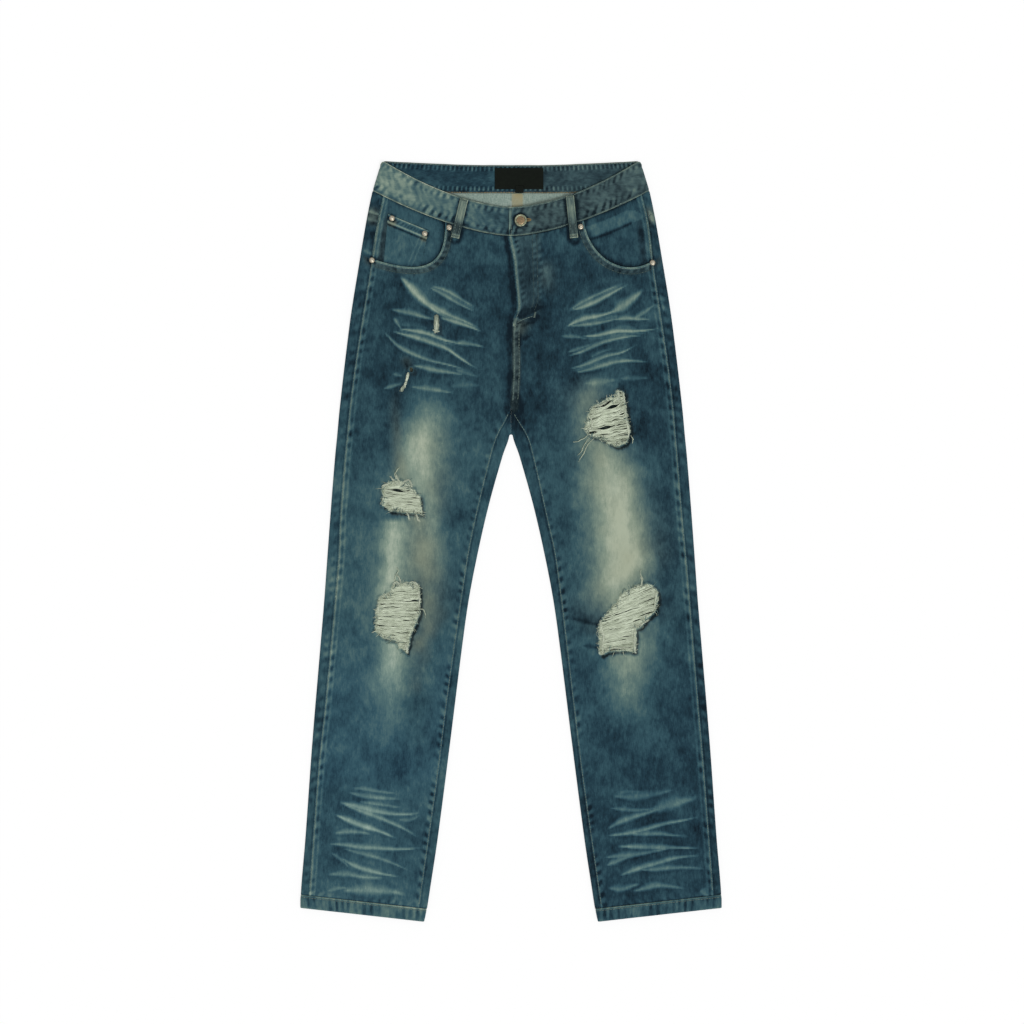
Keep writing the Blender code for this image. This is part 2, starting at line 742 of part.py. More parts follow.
def build_coin_pocket():
    sheet = Sheet()
    mouth = [p for p in mouth_points("right", -2 * GAP) if COIN_FOOT_INNER < p[0] < COIN_FOOT_OUTER]
    outline = [COIN_TOP_OUTER, COIN_TOP_INNER] + mouth

    def outer(x, y):
        return facing_outer(x, y) + GAP + POCKET_WALL

    def inner(x, y):
        return facing_outer(x, y) + GAP

    sheet.fill(on_side(outline, SIDES["right"]), outer, inner, spacing=COIN_MESH)
    sheet.build("coin_pocket", "denim")


def build_back_pocket(name, side):
    p = BACK_POCKET
    half = p.width / 2
    corners = [
        (-half, p.height / 2), (half, p.height / 2), (half - p.taper, -p.height / 2),
        (0, -p.height / 2 - p.point), (-half + p.taper, -p.height / 2),
    ]
    placed = [
        (p.across + x * math.cos(p.turn) - y * math.sin(p.turn),
         p.y + x * math.sin(p.turn) + y * math.cos(p.turn))
        for x, y in corners
    ]
    sheet = Sheet()
    sheet.fill(
        on_side(placed, side), lambda x, y: 0.0, lambda x, y: POCKET_WALL, spacing=POCKET_MESH
    )
    sheet.build("back_pocket_" + name, "denim")


def build_hem(name, side):
    """A closed tube of turned cloth at the foot of a leg."""
    sheet = Sheet()
    rows = []
    for line in (hem_top, hem_edge):
        outer = outer_fold(meet_hem(outer_edge, line))
        inner = inner_fold(meet_hem(inner_edge, line))
        width = outer.base.x - inner.base.x
        xs = steps(outer.base.x, inner.base.x, width / HEM_STEPS)
        outer = rebase(outer, (xs[0], line(xs[0])))
        inner = rebase(inner, (xs[-1], line(xs[-1])))
        flat = [(side * a, line(a)) for a in xs[1:-1]]
        low = [((x, y, 0.0), (x, y, HEM_WALL)) for x, y in flat]
        high = [((x, y, front_height(x, y)), (x, y, front_height(x, y) - HEM_WALL)) for x, y in flat]
        ring = fold_ring(outer, side, HEM_WALL, line)[::-1] + low
        ring += fold_ring(inner, side, HEM_WALL, line) + high[::-1]
        rows.append(ring + ring[:1])
    sheet.bridge(rows)
    sheet.build("hem_" + name, "denim")


def band_lift(x):
    """How far the back waistband is held up by the belt loops under it."""
    return lift(x, (BACK_TOP_MIDDLE + BACK_SEAM_MIDDLE) / 2)


def band_section(top, foot, outer_z, inner_z):
    """A straight cut across a strip of cloth, from its top edge to its foot."""
    return [((*top, outer_z), (*top, inner_z)), ((*foot, outer_z), (*foot, inner_z))]


def band_fold(side):
    """Sections of the waistband round a side fold, from the front face to the back."""
    rings = [fold_ring(f, side, BAND_WALL)[::-1] for f in (TOP_FOLD, WAIST_FOLD)]
    return [[a, b] for a, b in zip(*rings)][1:-1]


def band_front(start, end, lapping):
    """Sections along the front, between two places along the band's lower edge."""
    sections = []
    for foot in ruled(start, end):
        top = foot * TOP_FOLD.base.x / WAIST_FOLD.base.x
        z = band_height(foot, lapping)
        sections.append(
            band_section((top, front_waist(top)), (foot, front_seam(foot)), z, z - BAND_WALL)
        )
    return sections


def build_waistband():
    half = WAIST_FOLD.base.x
    back = []
    for foot in ruled(-half, half):
        top = foot * TOP_FOLD.base.x / half
        low = band_lift(foot)
        back.append(
            band_section((top, back_waist(top)), (foot, back_seam(foot)), low, low + BAND_WALL)
        )
    sheet = Sheet()
    sheet.bridge(
        band_front(BAND_UNDERLAP, -half, False)
        + band_fold(-1)
        + back
        + band_fold(1)[::-1]
        + band_front(half, BAND_END, True)
    )
    sheet.build("waistband", "denim")


def build_loop(name, top, foot, heights):
    """A belt loop between two points. heights are the outer face's, along the loop."""
    start, end = Vector(top), Vector(foot)
    along = (end - start).normalized()
    across = Vector((-along.y, along.x)) * LOOP_WIDTH / 2
    rows = []
    for i, z in enumerate(heights):
        spot = start.lerp(end, i / (len(heights) - 1))
        rows.append(band_section(spot + across, spot - across, z, z - LOOP_WALL))
    sheet = Sheet()
    sheet.bridge(rows)
    sheet.build("belt_loop_" + name, "loop")


def build_loops():
    for name, loop in FRONT_LOOPS.items():
        low = band_height(loop.top[0], name == "left") + GAP + LOOP_WALL
        arch = [LOOP_ARCH * math.sin(math.pi * i / LOOP_STEPS) for i in range(LOOP_STEPS + 1)]
        build_loop("front_" + name, loop.top, loop.bottom, [low + rise for rise in arch])
    for name, x in BACK_LOOPS.items():
        build_loop("back_" + name, (x, BACK_LOOP_HIGH), (x, BACK_LOOP_LOW), [LOOP_WALL] * 3)


def build_tag(name, tag, level):
    """A small flat tag on the inside of the back waistband, at a level given across it."""
    rows = []
    for x in steps(tag.x - tag.width / 2, tag.x + tag.width / 2, TAG_MESH):
        z = level(x) + LABEL_WALL
        top, foot = (x, tag.y + tag.height / 2), (x, tag.y - tag.height / 2)
        rows.append(band_section(top, foot, z, z - LABEL_WALL))
    sheet = Sheet()
    sheet.bridge(rows)
    sheet.build(name, "black_weave")


def build_tags():
    def on_band(x):
        highest = max(band_lift(x + across) for across in (-TAG_MESH, 0, TAG_MESH))
        return highest + BAND_WALL + GAP

    build_tag("label", LABEL, on_band)
    build_tag("size_tab", SIZE_TAB, lambda x: on_band(x) + LABEL_WALL + GAP)


def build_turned(name, profile, x, y, z, finish):
    """A turned piece from a profile of radius and height, standing at a point."""
    sides = TURNED_SIDES
    mesh = bmesh.new()
    rings = []
    for radius, height in profile:
        if radius == 0:
            rings.append([mesh.verts.new((x, y, z + height))])
            continue
        rings.append([
            mesh.verts.new((
                x + radius * math.cos(2 * math.pi * i / sides),
                y + radius * math.sin(2 * math.pi * i / sides),
                z + height,
            ))
            for i in range(sides)
        ])
    for one, two in zip(rings, rings[1:]):
        for i in range(sides):
            j = (i + 1) % sides
            corners = [one[i % len(one)], one[j % len(one)], two[j % len(two)], two[i % len(two)]]
            mesh.faces.new(list(dict.fromkeys(corners)))
    bmesh.ops.recalc_face_normals(mesh, faces=mesh.faces)
    made = place(name, mesh, finish)
    made.data.shade_smooth()
    made.data.set_sharp_from_angle(angle=SHARP)


def build_metal():
    profile = [(reach * BUTTON_RADIUS, height) for reach, height in BUTTON_PROFILE]
    x, y = BUTTON
    build_turned("button", profile, x, y, band_height(x, True) + GAP, "aged_copper")
    profile = [(reach * RIVET_RADIUS, height) for reach, height in RIVET_PROFILE]
    for name, (x, y) in RIVETS.items():
        z = front_height(x, y) + GAP
        build_turned("rivet_" + name, profile, x, y, z, "rivet_metal")


def main():
    for left_over in list(bpy.data.objects):
        bpy.data.objects.remove(left_over)
    for name, side in SIDES.items():
        build_back_pocket(name, side)
        build_back(name, side)
        build_yoke(name, side)
        build_facing(name, side)
        build_front(name, side)
        build_hem(name, side)
    build_waistband()
    build_coin_pocket()
    build_loops()
    build_tags()
    build_metal()


main()
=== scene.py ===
import math

import bpy
import bmesh
import numpy as np
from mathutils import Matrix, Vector
from mathutils.geometry import delaunay_2d_cdt


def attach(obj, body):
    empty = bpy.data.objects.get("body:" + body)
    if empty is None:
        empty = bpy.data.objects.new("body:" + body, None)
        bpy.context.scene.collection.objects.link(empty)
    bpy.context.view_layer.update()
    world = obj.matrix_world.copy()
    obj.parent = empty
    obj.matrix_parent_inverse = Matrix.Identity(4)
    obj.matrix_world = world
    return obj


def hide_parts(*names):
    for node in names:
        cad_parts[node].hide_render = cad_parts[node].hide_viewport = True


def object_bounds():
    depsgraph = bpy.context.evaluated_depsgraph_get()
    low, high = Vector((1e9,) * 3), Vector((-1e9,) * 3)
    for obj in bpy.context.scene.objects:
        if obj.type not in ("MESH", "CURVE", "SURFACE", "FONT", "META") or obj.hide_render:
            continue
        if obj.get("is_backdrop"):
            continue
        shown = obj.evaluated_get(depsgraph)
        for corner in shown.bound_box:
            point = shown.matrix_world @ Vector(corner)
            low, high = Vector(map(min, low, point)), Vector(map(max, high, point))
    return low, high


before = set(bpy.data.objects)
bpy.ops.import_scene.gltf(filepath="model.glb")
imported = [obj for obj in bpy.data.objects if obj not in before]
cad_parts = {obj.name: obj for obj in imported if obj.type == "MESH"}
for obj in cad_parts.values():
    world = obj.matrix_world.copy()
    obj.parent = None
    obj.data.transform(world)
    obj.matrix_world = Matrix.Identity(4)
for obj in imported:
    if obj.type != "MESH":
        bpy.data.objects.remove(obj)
cadLow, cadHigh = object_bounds()
print("frame loaded with", len(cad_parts), "nodes")

sides = {"right": -1, "left": 1}  # the wearer's
cloth = {  # walls and mesh sizes, in metres
    "denim": 0.0011,
    "bandWall": 0.0024,
    "hemWall": 0.0030,
    "loopWall": 0.0016,
    "thinWall": 0.0010,
    "gap": 0.0003,
    "fine": 0.0021,
    "plain": 0.0036,
    "inside": 0.0140,
    "foldSteps": 7,
    "sharp": 50,
}


def table(columns, rows):  # rows of numbers with named columns
    return dict(zip(columns.split(), np.array(rows, float).T))


def smooth(value):
    value = np.clip(value, 0, 1)
    return value * value * (3 - 2 * value)


def bell(away, width):  # 1 in the middle, falling softly to 0
    return np.exp(-((away / width) ** 2))


def unit(ways, least=0.0):
    return ways / (np.linalg.norm(ways, axis=-1)[..., None] + least)


def columns(*values):
    return np.stack(np.broadcast_arrays(*[np.asarray(v, float) for v in values]), axis=-1)


def between(start, end, spacing):
    return np.linspace(start, end, max(2, round(abs(end - start) / spacing) + 1))


def curveThrough(stations, values):  # a smooth curve through rows that run down the garment
    ys, vs = np.asarray(stations)[::-1], np.asarray(values)[::-1]
    gaps = np.diff(ys)
    slopes = np.empty_like(vs)
    slopes[1:-1] = (vs[2:] - vs[:-2]) / (ys[2:] - ys[:-2])
    slopes[0] = (vs[1] - vs[0]) / gaps[0]
    slopes[-1] = (vs[-1] - vs[-2]) / gaps[-1]

    def at(y):
        y = np.clip(y, ys[0], ys[-1])
        i = np.clip(np.searchsorted(ys, y, side="right") - 1, 0, len(ys) - 2)
        t = (y - ys[i]) / gaps[i]
        start = vs[i] * (2 * t**3 - 3 * t**2 + 1) + slopes[i] * gaps[i] * (t**3 - 2 * t**2 + t)
        return start + vs[i + 1] * (3 * t**2 - 2 * t**3) + slopes[i + 1] * gaps[i] * (t**3 - t**2)

    return at


def softNoise(x, y, scale, seed):  # a smooth random field from -1 to 1
    lattice = np.random.default_rng(seed).uniform(-1, 1, (97, 101))
    u, v = x / scale + 31.7, y / scale + 17.3
    i, j = np.floor(u).astype(int), np.floor(v).astype(int)
    fu, fv = smooth(u - i), smooth(v - j)
    low = lattice[i % 97, j % 101] * (1 - fu) + lattice[(i + 1) % 97, j % 101] * fu
    high = lattice[i % 97, (j + 1) % 101] * (1 - fu) + lattice[(i + 1) % 97, (j + 1) % 101] * fu
    return low * (1 - fv) + high * fv


def bowed(start, middle, end, count=9):  # a curve through three points
    t = np.linspace(0, 1, count)[:, None]
    start, middle, end = (np.array(p, float) for p in (start, middle, end))
    handle = 2 * middle - (start + end) / 2
    return start * (1 - t) ** 2 + 2 * handle * t * (1 - t) + end * t**2


def alongLine(x, y, line, reach):  # signed distance from a line and the run along it, near the line
    form, x, y = x.shape, x.ravel(), y.ravel()
    away, run, done = np.full(x.shape, 9.0), np.zeros(x.shape), 0.0
    for (ax, ay), (bx, by) in zip(line[:-1], line[1:]):
        dx, dy = bx - ax, by - ay
        length = math.hypot(dx, dy)
        inX = (x > min(ax, bx) - reach) & (x < max(ax, bx) + reach)
        near = np.flatnonzero(inX & (y > min(ay, by) - reach) & (y < max(ay, by) + reach))
        if len(near) and length > 0:
            px, py = x[near] - ax, y[near] - ay
            t = np.clip((px * dx + py * dy) / length**2, 0, 1)
            found = np.hypot(px - t * dx, py - t * dy)
            found = np.where(dx * py - dy * px >= 0, found, -found)
            closer = np.abs(found) < np.abs(away[near])
            away[near[closer]] = found[closer]
            run[near[closer]] = done + t[closer] * length
        done += length
    return away.reshape(form), run.reshape(form), done


def divided(points, spacing):  # a polyline with its stretches divided evenly
    points = [np.array(p, float) for p in points]
    out = []
    for a, b in zip(points[:-1], points[1:]):
        count = max(1, round(float(np.linalg.norm(b - a)) / spacing))
        out += [a + (b - a) * i / count for i in range(count)]
    return np.array(out + [points[-1]])


def measured(line):  # the run along a polyline at each of its points
    return np.concatenate([[0], np.cumsum(np.linalg.norm(np.diff(line, axis=0), axis=1))])


def closedLoop(points):
    return np.vstack([points, points[:1]])


def pointsAt(line, at):  # points at given runs along a polyline
    run = measured(line)
    return np.stack([np.interp(at, run, values) for values in line.T], axis=-1)


def resampled(line, spacing):  # points at even runs along a polyline
    line = np.asarray(line, float)
    long = measured(line)[-1]
    return pointsAt(line, np.linspace(0, long, max(2, round(long / spacing) + 1)))


def beside(line, away):  # the same line moved to its left
    ahead = unit(np.gradient(np.asarray(line, float), axis=0))
    return line + columns(-ahead[:, 1], ahead[:, 0]) * away


# the outline of a leg, as half widths and half gaps between the legs
leg = table("y outer inner level sag", [
    (0.5410, 0.1860, 0.0000, 0.0072, 0.0002),
    (0.4963, 0.1970, 0.0000, 0.0072, 0.0002),
    (0.4550, 0.2055, 0.0000, 0.0066, 0.0003),
    (0.3930, 0.2160, 0.0000, 0.0063, 0.0003),
    (0.3250, 0.2270, 0.0000, 0.0062, 0.0003),
    (0.2570, 0.2357, 0.0000, 0.0060, 0.0005),
    (0.1870, 0.2437, 0.0000, 0.0056, 0.0008),
    (0.1493, 0.2472, 0.0023, 0.0053, 0.0010),
    (0.1210, 0.2500, 0.0118, 0.0051, 0.0012),
    (0.0520, 0.2556, 0.0312, 0.0049, 0.0013),
    (-0.0160, 0.2606, 0.0469, 0.0048, 0.0013),
    (-0.0840, 0.2655, 0.0600, 0.0048, 0.0013),
    (-0.1520, 0.2712, 0.0696, 0.0048, 0.0013),
    (-0.2880, 0.2826, 0.0866, 0.0048, 0.0013),
    (-0.4250, 0.2925, 0.1044, 0.0050, 0.0010),
    (-0.4900, 0.2980, 0.1142, 0.0062, 0.0006),
    (-0.5268, 0.2998, 0.1200, 0.0069, 0.0004),
    (-0.5410, 0.3004, 0.1234, 0.0069, 0.0004),
])
seams = table("y outRight outLeft inRight inLeft", [
    (0.4963, 0.1800, 0.1850, 0.0000, 0.0000),
    (0.4550, 0.1895, 0.1950, 0.0000, 0.0000),
    (0.3930, 0.1995, 0.2030, 0.0000, 0.0000),
    (0.2570, 0.2215, 0.2235, 0.0000, 0.0000),
    (0.1870, 0.2305, 0.2320, 0.0000, 0.0000),
    (0.1505, 0.2340, 0.2350, 0.0175, 0.0205),
    (0.1290, 0.2365, 0.2370, 0.0250, 0.0275),
    (0.0300, 0.2440, 0.2450, 0.0490, 0.0500),
    (-0.0270, 0.2465, 0.2505, 0.0602, 0.0620),
    (-0.2260, 0.2645, 0.2670, 0.0892, 0.0865),
    (-0.3250, 0.2750, 0.2755, 0.1015, 0.0985),
    (-0.5410, 0.2905, 0.2915, 0.1320, 0.1295),
])
flyLine = table("y x", [
    (0.4740, -0.0028),
    (0.4370, -0.0030),
    (0.3980, 0.0043),
    (0.3680, 0.0071),
    (0.3390, 0.0102),
    (0.3290, 0.0097),
    (0.3070, 0.0031),
    (0.2400, 0.0026),
    (0.1870, 0.0000),
])
shape = {  # lengths along the garment and a few widths, in metres
    "waistTop": 0.5410,
    "waistSide": 0.4963,
    "waistMiddle": 0.4740,
    "seamMiddle": 0.4330,
    "backTopMiddle": 0.5339,
    "backSeamMiddle": 0.4935,
    "yokeSide": 0.4650,
    "yokeMiddle": 0.4180,
    "yokeDrop": 0.0030,
    "crotch": 0.1870,
    "split": 0.1510,
    "splitRadius": 0.0025,
    "splitTurn": math.radians(70),
    "hemInner": -0.5410,
    "hemInnerAcross": 0.1234,
    "hemSlope": 0.1119,
    "hemDepth": 0.0190,
    "frontMiddle": 0.0020,
    "bandLevel": 0.0072,
    "bandEnd": -0.0030,
    "underlap": 0.0350,
    "flyEnd": 0.3070,
    "flyWidth": 0.0400,
    "flyRise": 0.0014,
}
outerEdge = curveThrough(leg["y"], leg["outer"])
innerEdge = curveThrough(leg["y"], leg["inner"])
foldLevel = curveThrough(leg["y"], leg["level"])
sagDepth = curveThrough(leg["y"], leg["sag"])
outseam = {name: curveThrough(seams["y"], seams["out" + name.title()]) for name in sides}
inseam = {name: curveThrough(seams["y"], seams["in" + name.title()]) for name in sides}
flyEdge = curveThrough(flyLine["y"], flyLine["x"])


def hemEdge(across):
    return shape["hemInner"] + shape["hemSlope"] * (across - shape["hemInnerAcross"])


def hemTop(across):
    return hemEdge(across) + shape["hemDepth"]


def hemLine(across):  # where the panels end
    return hemTop(across) + cloth["gap"]


def meeting(edge, line):  # the y at which an edge crosses a hem line
    y = shape["hemInner"]
    for _ in range(20):
        y = float(line(edge(y)))
    return y


def foldAt(edge, y, way):  # edge, direction out of the cloth, and the fold's base line
    slope = (edge(y + 0.001) - edge(y - 0.001)) / 0.002
    out = np.array((way, -way * slope)) / math.hypot(1, slope)
    spot = np.array((edge(y), y), float)
    return spot, out, spot - out * float(foldLevel(y)) / 2


def outerFold(y):
    return foldAt(outerEdge, y, 1)


def innerFold(y):
    return foldAt(innerEdge, y, -1)


waistFold = outerFold(shape["waistSide"])
topEdge = np.array((float(outerEdge(shape["waistTop"])), shape["waistTop"]))
topFold = (topEdge, waistFold[1], topEdge - waistFold[1] * shape["bandLevel"] / 2)
yokeFold = outerFold(shape["yokeSide"])


def acrossFront(x, half):  # 0 at the middle of the front, 1 at the fold
    away = x - shape["frontMiddle"]
    return np.minimum(np.abs(away) / (half - np.sign(away) * shape["frontMiddle"]), 1)


def frontDip(fold, middle, power):  # a line that dips in the middle of the front
    high, half = fold[2][1], fold[2][0]
    return lambda x: high - (high - middle) * (1 - acrossFront(x, half) ** power)


def backDip(fold, middle, power):
    high, half = fold[2][1], fold[2][0]
    return lambda x: middle + (high - middle) * np.minimum(np.abs(x) / half, 1) ** power


frontWaist = frontDip(topFold, shape["waistMiddle"], 1.7)
frontSeam = frontDip(waistFold, shape["seamMiddle"], 1.6)
backWaist = backDip(topFold, shape["backTopMiddle"], 2)
backSeam = backDip(waistFold, shape["backSeamMiddle"], 2)
yokeSeam = backDip(yokeFold, shape["yokeMiddle"], 1.3)


backPocket = {
    "across": 0.1080, "y": 0.3250, "width": 0.1450, "height": 0.1300,
    "point": 0.0220, "taper": 0.0100, "turn": math.radians(5),
}
loopPlaces = {
    "backX": {"right": -0.1280, "centre": 0.0, "left": 0.1280},
    "backLow": 0.4830,
    "backHigh": 0.5330,
    "width": 0.0115,
    "arch": 0.0008,
    "front": {
        "right": ((-0.0665, 0.4850), (-0.0795, 0.4300)),
        "left": ((0.0835, 0.4895), (0.0895, 0.4300)),
    },
}


def nearBox(x, y, middle, half, turn):  # 1 over a box and a margin, falling softly to 0
    dx, dy = x - middle[0], y - middle[1]
    along = np.abs(dx * math.cos(turn) + dy * math.sin(turn)) - half[0]
    up = np.abs(dy * math.cos(turn) - dx * math.sin(turn)) - half[1]
    away = np.hypot(np.maximum(along, 0), np.maximum(up, 0))
    return 1 - smooth((away - 0.020) / 0.018)


def backLift(x, y):  # how far the pockets and loops under it hold the back up
    x, y = np.asarray(x, float), np.asarray(y, float)
    p, held = backPocket, np.zeros(np.broadcast(x, y).shape)
    half = (p["width"] / 2, (p["height"] + p["point"]) / 2)
    for side in sides.values():
        middle = (side * p["across"], p["y"] - p["point"] / 2)
        over = nearBox(x, y, middle, half, side * p["turn"])
        held = np.maximum(held, (cloth["thinWall"] + cloth["gap"]) * over)
    low, high = loopPlaces["backLow"], loopPlaces["backHigh"]
    for loopX in loopPlaces["backX"].values():
        over = nearBox(x, y, (loopX, (low + high) / 2), (loopPlaces["width"] / 2, (high - low) / 2), 0)
        held = np.maximum(held, (cloth["loopWall"] + cloth["gap"]) * over)
    return held


def flyRise(x, y):
    over = smooth((x - flyEdge(y)) / 0.0006 + 1)
    side = 1 - smooth((x - shape["flyWidth"]) / 0.012)
    return shape["flyRise"] * over * side * smooth((y - shape["flyEnd"]) / 0.024)


def frontLevel(x, y):
    outer = outerEdge(y) - np.abs(x)
    inner = np.where(y < shape["split"], np.abs(x) - innerEdge(y), np.hypot(x, y - shape["split"]))
    away = np.maximum(np.minimum(outer, inner) - foldLevel(y) / 2, 0)
    return foldLevel(y) - sagDepth(y) * smooth(away / 0.045)


def bandHeight(x, lapping):
    if lapping:
        return shape["bandLevel"] + 0.0019 * (1 - smooth((x - 0.039) / 0.040))
    return shape["bandLevel"] - 0.0009 * smooth((x + 0.028) / 0.020)


button = {
    "place": (0.0137, 0.4545),
    "radius": 0.0087,
    "sides": 48,
    "profile": [  # shares of the radius and heights over the cloth
        (0.00, 0.0000), (0.40, 0.0000), (0.42, 0.0012), (0.90, 0.0014), (0.985, 0.0019), (1.0, 0.0023),
        (0.985, 0.0028), (0.94, 0.0031), (0.86, 0.0032), (0.79, 0.0030), (0.75, 0.0027), (0.70, 0.0027),
        (0.66, 0.0030), (0.55, 0.0032), (0.30, 0.0034), (0.12, 0.0035), (0.00, 0.0035),
    ],
}
rivet = {
    "radius": 0.0039,
    "sides": 36,
    "profile": [
        (0.00, 0.0000), (0.97, 0.0000), (1.00, 0.0003), (0.98, 0.0006), (0.90, 0.0008), (0.78, 0.0009),
        (0.62, 0.0009), (0.52, 0.0012), (0.40, 0.0017), (0.22, 0.0021), (0.08, 0.0022), (0.00, 0.0022),
    ],
    "places": {
        "mouth_right": (-0.0880, 0.4450),
        "side_right": (-0.1975, 0.3985),
        "mouth_left": (0.0990, 0.4460),
        "side_left": (0.2010, 0.3950),
        "coin_outer": (-0.1690, 0.4580),
        "coin_inner": (-0.1225, 0.4365),
    },
}


# the lines that wear, creases and stitches follow

def bezier(a, b, c, d, count=49):
    t = np.linspace(0, 1, count)[:, None]
    a, b, c, d = (np.array(p, float) for p in (a, b, c, d))
    return a * (1 - t) ** 3 + 3 * b * t * (1 - t) ** 2 + 3 * c * t * t * (1 - t) + d * t**3


mouths = {  # pocket mouths as across and y, from the waistband to the outseam
    "right": bezier((0.0935, 0.4515), (0.0925, 0.3930), (0.1180, 0.3740), (0.1990, 0.4010)),
    "left": bezier((0.1035, 0.4530), (0.1120, 0.4000), (0.1620, 0.3720), (0.2030, 0.3985)),
}


def mouthLine(name, away=0.0):  # positive is out into the front panel
    return beside(mouths[name], -away)


def seamLine(seam, name, low, high, away=0.0):  # x and y down a leg seam
    ys = np.arange(high, low, -0.012)
    return columns(sides[name] * (seam[name](ys) + away), ys)


def bandLine(edge, start, end):
    xs = np.linspace(start, end, 60)
    return columns(xs, edge(xs))


def hemRow(name, away):
    across = np.linspace(innerEdge(-0.53), outerEdge(-0.53), 30)
    return columns(sides[name] * across, hemEdge(across) + away)


whiskers = {  # bleached creases in millimetres: half width, strength and the points they run through
    "right": [
        (5.7, 0.84, (-158, 376), (-138, 353), (-121, 337), (-104, 324), (-90, 318)),
        (3.7, 0.76, (-127, 343), (-112, 334), (-98, 325), (-83, 318), (-64, 311), (-43, 301)),
        (3.2, 0.80, (-102, 317), (-80, 311), (-62, 305), (-39, 296)),
        (2.8, 0.66, (-114, 362), (-94, 356), (-79, 348), (-65, 339), (-48, 330)),
        (2.8, 0.64, (-117, 360), (-98, 351), (-87, 344), (-70, 334), (-48, 324)),
        (3.6, 0.62, (-172, 329), (-153, 325), (-136, 321), (-122, 317), (-104, 313)),
        (2.4, 0.62, (-167, 317), (-161, 308), (-156, 300)),
        (3.2, 0.84, (-160, 301), (-139, 298), (-122, 295), (-111, 291), (-96, 285), (-84, 282), (-66, 283)),
        (2.8, 0.60, (-84, 281), (-65, 280), (-51, 278), (-34, 274)),
        (4.2, 0.34, (-158, 307), (-136, 305), (-112, 300)),
        (3.4, 0.80, (-171, 298), (-153, 293), (-136, 289), (-122, 284), (-105, 278), (-91, 273),
         (-72, 259), (-60, 251), (-42, 241)),
        (2.5, 0.64, (-182, 299), (-170, 285), (-158, 274), (-146, 268), (-135, 263), (-118, 256),
         (-84, 249), (-55, 239)),
        (3.6, 0.68, (-141, 249), (-124, 246), (-105, 241), (-87, 239), (-64, 235)),
        (3.0, 0.34, (-80, 243), (-44, 232)),
        (2.4, 0.46, (-181, 216), (-166, 220), (-153, 224)),
        (3.0, 0.50, (-144, 219), (-122, 216), (-101, 213), (-78, 209)),
        (5.0, 0.26, (-86, 219), (-65, 222), (-42, 220)),
        (2.3, 0.46, (-168, 237), (-152, 233)),
        (6.5, 0.34, (-116, 361), (-90, 350), (-70, 338), (-46, 326)),
        (6.0, 0.52, (-108, 326), (-85, 316), (-62, 308), (-40, 298)),
        (6.0, 0.36, (-162, 300), (-125, 290), (-95, 280), (-72, 278)),
        (8.0, 0.20, (-166, 362), (-166, 336)),
        (2.6, 0.62, (-205, 468), (-195, 466), (-184, 461)),
        (2.4, 0.46, (-207, 457), (-196, 455), (-185, 452)),
        (3.4, 0.50, (-209, 413), (-197, 406)),
        (7.0, 0.10, (-240, 180), (-244, 140), (-247, 96)),
    ],
    "left": [
        (2.6, 0.62, (82, 327), (98, 337), (115, 346), (143, 359), (158, 366)),
        (3.4, 0.72, (84, 327), (104, 332), (122, 340), (146, 353), (170, 366)),
        (3.4, 0.78, (77, 303), (98, 314), (126, 319), (143, 324), (160, 332)),
        (6.2, 0.66, (140, 323), (158, 331), (176, 345), (190, 359)),
        (2.6, 0.62, (82, 305), (112, 307), (135, 311), (149, 315), (166, 313)),
        (3.2, 0.62, (146, 314), (166, 316), (183, 314), (202, 315)),
        (3.4, 0.50, (172, 314), (190, 324), (206, 337)),
        (3.3, 0.80, (99, 291), (115, 290), (131, 293), (151, 298), (175, 297), (197, 299), (217, 303)),
        (2.6, 0.46, (70, 290), (91, 290), (111, 286)),
        (3.0, 0.36, (143, 302), (183, 302)),
        (2.9, 0.62, (79, 262), (98, 267), (115, 275), (131, 282), (151, 287), (173, 291), (197, 292)),
        (2.3, 0.46, (79, 267), (98, 273), (118, 281)),
        (2.9, 0.68, (83, 244), (104, 249), (122, 257), (138, 263), (155, 266), (166, 271), (181, 280)),
        (2.3, 0.36, (112, 260), (133, 270), (146, 273)),
        (3.2, 0.66, (89, 238), (112, 243), (131, 249), (148, 254), (172, 256), (201, 253)),
        (3.2, 0.30, (153, 230), (198, 231)),
        (4.4, 0.34, (103, 223), (128, 226), (155, 229)),
        (6.0, 0.36, (80, 326), (111, 341), (140, 355), (164, 367)),
        (6.0, 0.30, (98, 290), (130, 288), (165, 293), (209, 297)),
        (5.0, 0.32, (86, 240), (118, 250), (145, 258), (168, 262)),
        (5.0, 0.30, (82, 304), (115, 310), (140, 317), (168, 317)),
        (4.0, 0.55, (196, 470), (199, 459), (204, 446)),
        (3.0, 0.40, (211, 352), (214, 338), (217, 326)),
        (5.0, 0.22, (47, 392), (52, 372), (53, 352)),
        (15.0, 0.17, (190, 350), (194, 320), (197, 290), (200, 262), (202, 230)),
    ],
}
